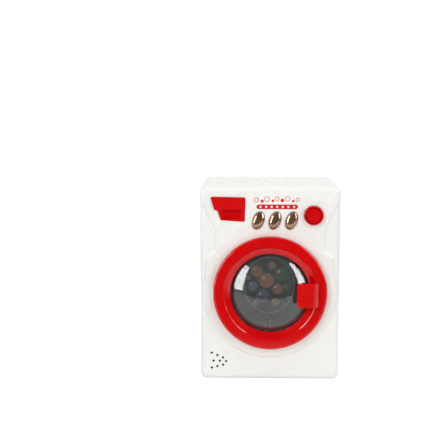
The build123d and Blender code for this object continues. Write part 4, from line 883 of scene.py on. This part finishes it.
def makeResistorTree():
    tree, given, made = newTree("resistor", ["Body Radius", "Body Length", "Lead Radius", "Lead Out",
                                             "Stand"])
    bodyR, bodyL = given["Body Radius"], given["Body Length"]
    body = shaped(tree, "MeshCylinder", {"Vertices": 20, "Side Segments": 12, "Fill Segments": 3,
                                         "Radius": 1.0, "Depth": 1.0})
    at = axes(tree, position(tree))
    ends = ramp(tree, maths(tree, "ABSOLUTE", at[2]), 0.26, 0.36, 0.82, 1.0)
    ends = times(tree, ends, ramp(tree, maths(tree, "ABSOLUTE", at[2]), 0.40, 0.505, 1.0, 0.6))
    wide = times(tree, ends, bodyR)
    stand = given["Stand"]
    target = vector(tree, times(tree, at[2], bodyL), times(tree, at[1], wide),
                    plus(tree, times(tree, at[0], wide), stand))
    body = shaped(tree, "SetPosition", {"Geometry": body, "Position": target})
    half = plus(tree, times(tree, bodyL, 0.5), given["Lead Out"])
    # one wire up, across and down again, with its corners rounded
    wire = shaped(tree, "CurvePrimitiveQuadrilateral", {"Width": times(tree, half, 2.0),
                                                        "Height": times(tree, stand, 2.0)})
    wire = addNode(tree, "GeometryNodeFilletCurve", {"mode": "POLY"},
                   {"Curve": wire, "Count": 5, "Radius": times(tree, stand, 0.6)}).outputs[0]
    where = axes(tree, position(tree))
    upright = vector(tree, where[0], 0.0, where[1])
    wire = shaped(tree, "SetPosition", {"Geometry": wire, "Position": upright})
    wireRing = shaped(tree, "CurvePrimitiveCircle", {"Resolution": 8, "Radius": given["Lead Radius"]})
    wire = shaped(tree, "CurveToMesh", {"Curve": wire, "Profile Curve": wireRing})
    endTree(tree, given, made, onSpots(tree, given, joined(tree, body, wire), 0.0))
    return tree


def turnedMesh(name, outline, x, z, steps=56):
    # an open (radius, y) outline that starts and ends on the axis, turned about it
    form = bmesh.new()
    verts = [form.verts.new((x + r, y, z)) for r, y in outline]
    edges = [form.edges.new(pair) for pair in zip(verts, verts[1:])]
    bmesh.ops.spin(form, geom=verts + edges, cent=(x, 0, z), axis=(0, 1, 0), angle=2 * math.pi, steps=steps,
                   use_merge=True)
    bmesh.ops.remove_doubles(form, verts=form.verts, dist=1e-6)
    bmesh.ops.recalc_face_normals(form, faces=form.faces)
    mesh = bpy.data.meshes.new(name)
    form.to_mesh(mesh)
    form.free()
    return mesh


# the round button: a raised rim round a low crown, hollow behind, as its solid is
startLook = {"crown": 7.3, "groove": (7.7, 8.2), "grooveDeep": 0.9, "rim": 8.6, "round": 1.1,
             # shade is the colour of the painted shade in the groove
             "shade": linear(118, 4, 6), "ringWide": 0.15, "swell": [(3.0, 0.04), (5.5, 0.13)],
             "crownLow": 0.28, "rimLow": 0.16, "flange": 1.3, "flangeTop": 7.6, "flangeFoot": 9.0,
             "wall": 1.6, "roof": 4.5, "stem": 1.5}


def makeStartRed():
    # the red plastic, with painted shade: a darker ring painted down in the groove
    mat, tree, shader, colour = makePlastic("startRed", plastics["redGloss"])
    low, high, x, z = middleOf("start_button")
    outer = startLook["groove"][1] + startLook["ringWide"]
    ring = useGroup(tree, "mark", {"Colour": colour, "Ink And Shade": startLook["shade"], "Radius": outer * mm,
                                   "Hole": startLook["groove"][0] / outer - 0.02, "Cover": 0.85,
                                   "Centre": (x, 0, z)})
    feed(tree, shader, {"Base Color": ring["Colour"]})
    return mat


mats["startRed"] = makeStartRed()


def makeStartButton():
    low, high, x, z = middleOf("start_button")
    front, back = low.y / mm, high.y / mm
    flangeR = (high.x - low.x) / 2 / mm
    capR = flangeR - startLook["flange"]
    inR, foot, roof = capR - startLook["wall"], front + startLook["flangeFoot"], front + startLook["roof"]
    edgeR, rimLow = startLook["round"], front + startLook["rimLow"]
    outline = [(0, front)] + [(r, front + drop) for r, drop in startLook["swell"]]
    outline += [(startLook["crown"], front + startLook["crownLow"])]
    outline += [(r, front + startLook["grooveDeep"]) for r in startLook["groove"]]
    outline.append((startLook["rim"], rimLow))
    for k in range(7):
        turn = math.radians(90 * k / 6)
        outline.append((capR - edgeR + edgeR * math.sin(turn), rimLow + edgeR * (1 - math.cos(turn))))
    outline += [(r, front + startLook["flangeTop"]) for r in (capR, flangeR)] + [(flangeR, foot), (inR, foot)]
    outline += [(inR, roof), (startLook["stem"], roof), (startLook["stem"], back), (0, back)]
    mesh = turnedMesh("startButtonCap", [(r * mm, y * mm) for r, y in outline], x, z, 96)
    piece = placePiece("startButtonCap", mesh, "startRed")
    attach(piece, "start_button")
    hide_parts("start_button")


makeStartButton()
print("round button turned")


def makeBoardParts():
    low, high, midX, midZ = middleOf("circuit_board")
    back = high.y
    spots = []
    pinX, pinZ = (reach * mm for reach in boardParts["tactPins"])
    for found in islands("tact_switches"):
        spots += [(found["x"] + dx * pinX, back, found["z"] + dz * pinZ) for dx in (-1, 1) for dz in (-1, 1)]
    ends = (boardParts["bodyLong"] / 2 + boardParts["leadOut"]) * mm
    resistors = [(midX + x * mm, back, midZ + z * mm) for x, z in boardParts["resistors"]]
    for x, y, z in resistors:
        spots += [(x - ends, y, z), (x + ends, y, z)]
    joints = growPiece("solderJoints", makeJointTree(), spots, {
        "Radius": boardParts["joint"] * mm, "Height": boardParts["jointHigh"] * mm}, "steel")
    carried = growPiece("resistors", makeResistorTree(), resistors, {
        "Body Radius": boardParts["bodyR"] * mm, "Body Length": boardParts["bodyLong"] * mm,
        "Lead Radius": boardParts["leadR"] * mm, "Lead Out": boardParts["leadOut"] * mm,
        "Stand": boardParts["stand"] * mm}, "resistorTan")
    # the cans and the blob as (x, z, radius, height) from the board's middle
    b = back / mm
    cans = []
    for k, (x, z, r, tall) in enumerate(boardParts["cans"]):
        top = b + tall
        outline = [(0, b), (r, b), (r, b + 0.5), (r - 0.25, b + 0.8), (r - 0.25, b + 1.0), (r, b + 1.3),
                   (r, top - 0.4), (r - 0.4, top), (r * 0.72, top), (r * 0.68, top - 0.15), (0, top - 0.15)]
        outline = [(q * mm, y * mm) for q, y in outline]
        mesh = turnedMesh("capacitor", outline, midX + x * mm, midZ + z * mm, 40)
        cans.append(placePiece("capacitor" + str(k + 1), mesh, "blackPlastic"))
    x, z, r, tall = boardParts["blob"]
    turns = [math.radians(a) for a in (12, 25, 40, 55, 70, 82)]
    dome = [(r * math.cos(a) ** 0.6, b + tall * math.sin(a)) for a in turns]
    outline = [(0, b), (r, b)] + dome + [(0, b + tall)]
    mesh = turnedMesh("chipBlob", [(q * mm, y * mm) for q, y in outline], midX + x * mm, midZ + z * mm, 48)
    blob = placePiece("chipBlob", mesh, "blackPlastic")
    slots = [(joints, "steel"), (carried, "gear_white"), (blob, "black_plastic")]
    for piece, slotName in slots + [(can, "black_plastic") for can in cans]:
        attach(piece, "cabinet")
    print("board parts:", len(spots), "joints,", len(resistors), "resistors,", len(cans), "capacitors")


makeBoardParts()

# rims of the drum's small holes
drumRims = {"Rows Count": 4, "Columns Count": 36, "wall": 1.8, "from": 8.0, "to": 27.0,
            "ring": 1.0, "tube": 0.16}


def makeRimTree():
    tree, given, made = newTree("wallRims", ["Wall Radius", "Depth", "Rows Count", "Columns Count",
                                             "Ring Radius", "Tube Radius"])
    net = addNode(tree, "GeometryNodeMeshCylinder", {"fill_type": "NONE"},
                  {"Vertices": given["Columns Count"], "Side Segments": given["Rows Count"],
                   "Radius": given["Wall Radius"], "Depth": given["Depth"]}).outputs[0]
    ring = shaped(tree, "CurvePrimitiveCircle", {"Resolution": 12, "Radius": given["Ring Radius"]})
    tube = shaped(tree, "CurvePrimitiveCircle", {"Resolution": 5, "Radius": given["Tube Radius"]})
    rim = shaped(tree, "CurveToMesh", {"Curve": ring, "Profile Curve": tube})
    outward = vectors(tree, "MULTIPLY", position(tree), (1, 1, 0))
    turn = addNode(tree, "FunctionNodeAlignRotationToVector", {"axis": "Z"}, {"Vector": outward}).outputs[0]
    rims = shaped(tree, "InstanceOnPoints", {"Points": net, "Instance": rim, "Rotation": turn})
    rims = shaped(tree, "RealizeInstances", {"Geometry": rims})
    endTree(tree, given, made, onSpots(tree, given, rims, 0.0))
    return tree


def makeDrumRims():
    low, high, x, z = middleOf("drum")
    wallR = (high.x - low.x) / 2 - drumRims["wall"] * mm
    depth = (drumRims["to"] - drumRims["from"]) * mm
    middle = low.y + (drumRims["to"] + drumRims["from"]) / 2 * mm
    piece = growPiece("drumHoleRims", makeRimTree(), [(x, middle, z)], {
        "Wall Radius": wallR, "Depth": depth, "Rows Count": drumRims["Rows Count"],
        "Columns Count": drumRims["Columns Count"], "Ring Radius": drumRims["ring"] * mm,
        "Tube Radius": drumRims["tube"] * mm}, "drumGrey")
    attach(piece, "drum")
    print("drum rims placed")


makeDrumRims()

# lights, world and floor
studio = {"world": 0.34, "dim": 0.05, "aheadFrom": -0.05, "aheadTo": -0.35, "aim": (0, -0.05, 0.10),
          "paperEnd": -0.26, "paperFade": 0.15, "paperNear": 0.32, "paperFar": 0.60, "paperGlow": 0.50,
          "left": {"from": (-0.96, -0.48, 0.42), "size": (0.42, 0.90), "power": 11.0, "spread": False},
          "right": {"from": (0.96, -0.36, 0.55), "size": (0.42, 0.90), "power": 11.0, "spread": False},
          "top": {"from": (0.0, -0.25, 1.5), "size": (1.3, 1.3), "power": 7.0, "mirrored": False},
          "frontLeft": {"from": (-0.95, -1.55, 0.95), "size": (1.0, 1.0), "power": 13.5, "mirrored": False},
          "rear": {"from": (0.70, 1.70, 1.00), "size": (1.2, 1.2), "power": 10.0, "mirrored": False},
          "frontRight": {"from": (1.15, -1.35, 0.75), "size": (1.0, 1.0), "power": 8.5, "mirrored": False}}


def makeLight(name, setup):
    data = bpy.data.lights.new(name, "AREA")
    data.shape, (data.size, data.size_y) = "RECTANGLE", setup["size"]
    data.energy = setup["power"]
    lamp = addObject(name, data)
    aim = Vector(studio["aim"]) - Vector(setup["from"])
    lamp.matrix_world = Matrix.Translation(setup["from"]) @ aim.to_track_quat("-Z", "Y").to_matrix().to_4x4()
    lamp.visible_glossy = lamp.visible_transmission = setup.get("mirrored", True)
    lamp.visible_diffuse = setup.get("spread", True)


for name in ("left", "right", "top", "frontLeft", "frontRight", "rear"):
    makeLight(name + "Softbox", studio[name])


def seenWhite(tree, ahead):
    # white to the camera and through glass, and to mirrors where ahead is 0: the room in front is dim
    path = addNode(tree, "ShaderNodeLightPath")
    mirrored = times(tree, path.outputs["Is Glossy Ray"], minus(tree, 1.0, ahead))
    seen = maths(tree, "MAXIMUM", path.outputs["Is Camera Ray"], mirrored)
    return maths(tree, "MAXIMUM", seen, path.outputs["Is Transmission Ray"]), path.outputs["Is Glossy Ray"]


def mixed(tree, factor, first, second):
    return addNode(tree, "ShaderNodeMixShader", {}, {0: factor, 1: first, 2: second}).outputs[0]


def glow(tree, strength, kind="Emission"):
    return addNode(tree, "ShaderNode" + kind, {}, {"Color": (1, 1, 1, 1), "Strength": strength}).outputs[0]


def makeWorld():
    world = bpy.data.worlds.new("studio")
    world.use_nodes = True
    bpy.context.scene.world = world
    tree = world.node_tree
    tree.nodes.clear()
    direction = addNode(tree, "ShaderNodeTexCoord").outputs["Generated"]
    ahead = ramp(tree, axes(tree, direction)["Y"], studio["aheadFrom"], studio["aheadTo"])
    white, glossy = seenWhite(tree, ahead)
    plainLevel = times(tree, minus(tree, 1.0, glossy), studio["world"])
    plainLevel = plus(tree, plainLevel, times(tree, glossy, studio["dim"]))
    seen = mixed(tree, white, glow(tree, plainLevel, "Background"), glow(tree, 1.0, "Background"))
    addNode(tree, "ShaderNodeOutputWorld", {}, {"Surface": seen})


def makeFloor():
    mesh = bpy.data.meshes.new("floor")
    mesh.from_pydata([(-9, -9, 0), (9, -9, 0), (9, 14, 0), (-9, 14, 0)], [], [(0, 1, 2, 3)])
    floor = addObject("floor", mesh)
    mat, tree, shader = newMaterial("paper")
    at = place(tree)
    fibres = noise(tree, at, 300.0, 3.0)
    feed(tree, shader, {"Base Color": mixColour(tree, fibres, (0.86, 0.86, 0.86, 1), (0.90, 0.90, 0.90, 1))})
    shader.inputs["Roughness"].default_value = 0.9
    shader.inputs["Specular IOR Level"].default_value = 0.1
    ahead = ramp(tree, axes(tree, at)["Y"], studio["paperEnd"], studio["paperEnd"] - studio["paperFade"])
    white, glossy = seenWhite(tree, ahead)
    lit = shader.outputs[0]
    both = addNode(tree, "ShaderNodeAddShader", {}, {0: lit, 1: glow(tree, studio["paperGlow"])}).outputs[0]
    seen = mixed(tree, white, lit, both)
    far = mixed(tree, times(tree, glossy, ahead), seen, glow(tree, studio["dim"]))
    # well away from the object the paper is plain white to the camera, so that no horizon shows
    away = vectors(tree, "LENGTH", at)
    outer = times(tree, ramp(tree, away, studio["paperNear"], studio["paperFar"]), white)
    out = next(n for n in tree.nodes if n.type == "OUTPUT_MATERIAL")
    feed(tree, out, {"Surface": mixed(tree, outer, far, glow(tree, 1.0))})
    mat.cycles.emission_sampling = "NONE"      # the paper isn't a lamp
    mesh.materials.append(mat)


makeWorld()
makeFloor()
bpy.context.scene.view_settings.view_transform = "Standard"
print("studio lit")
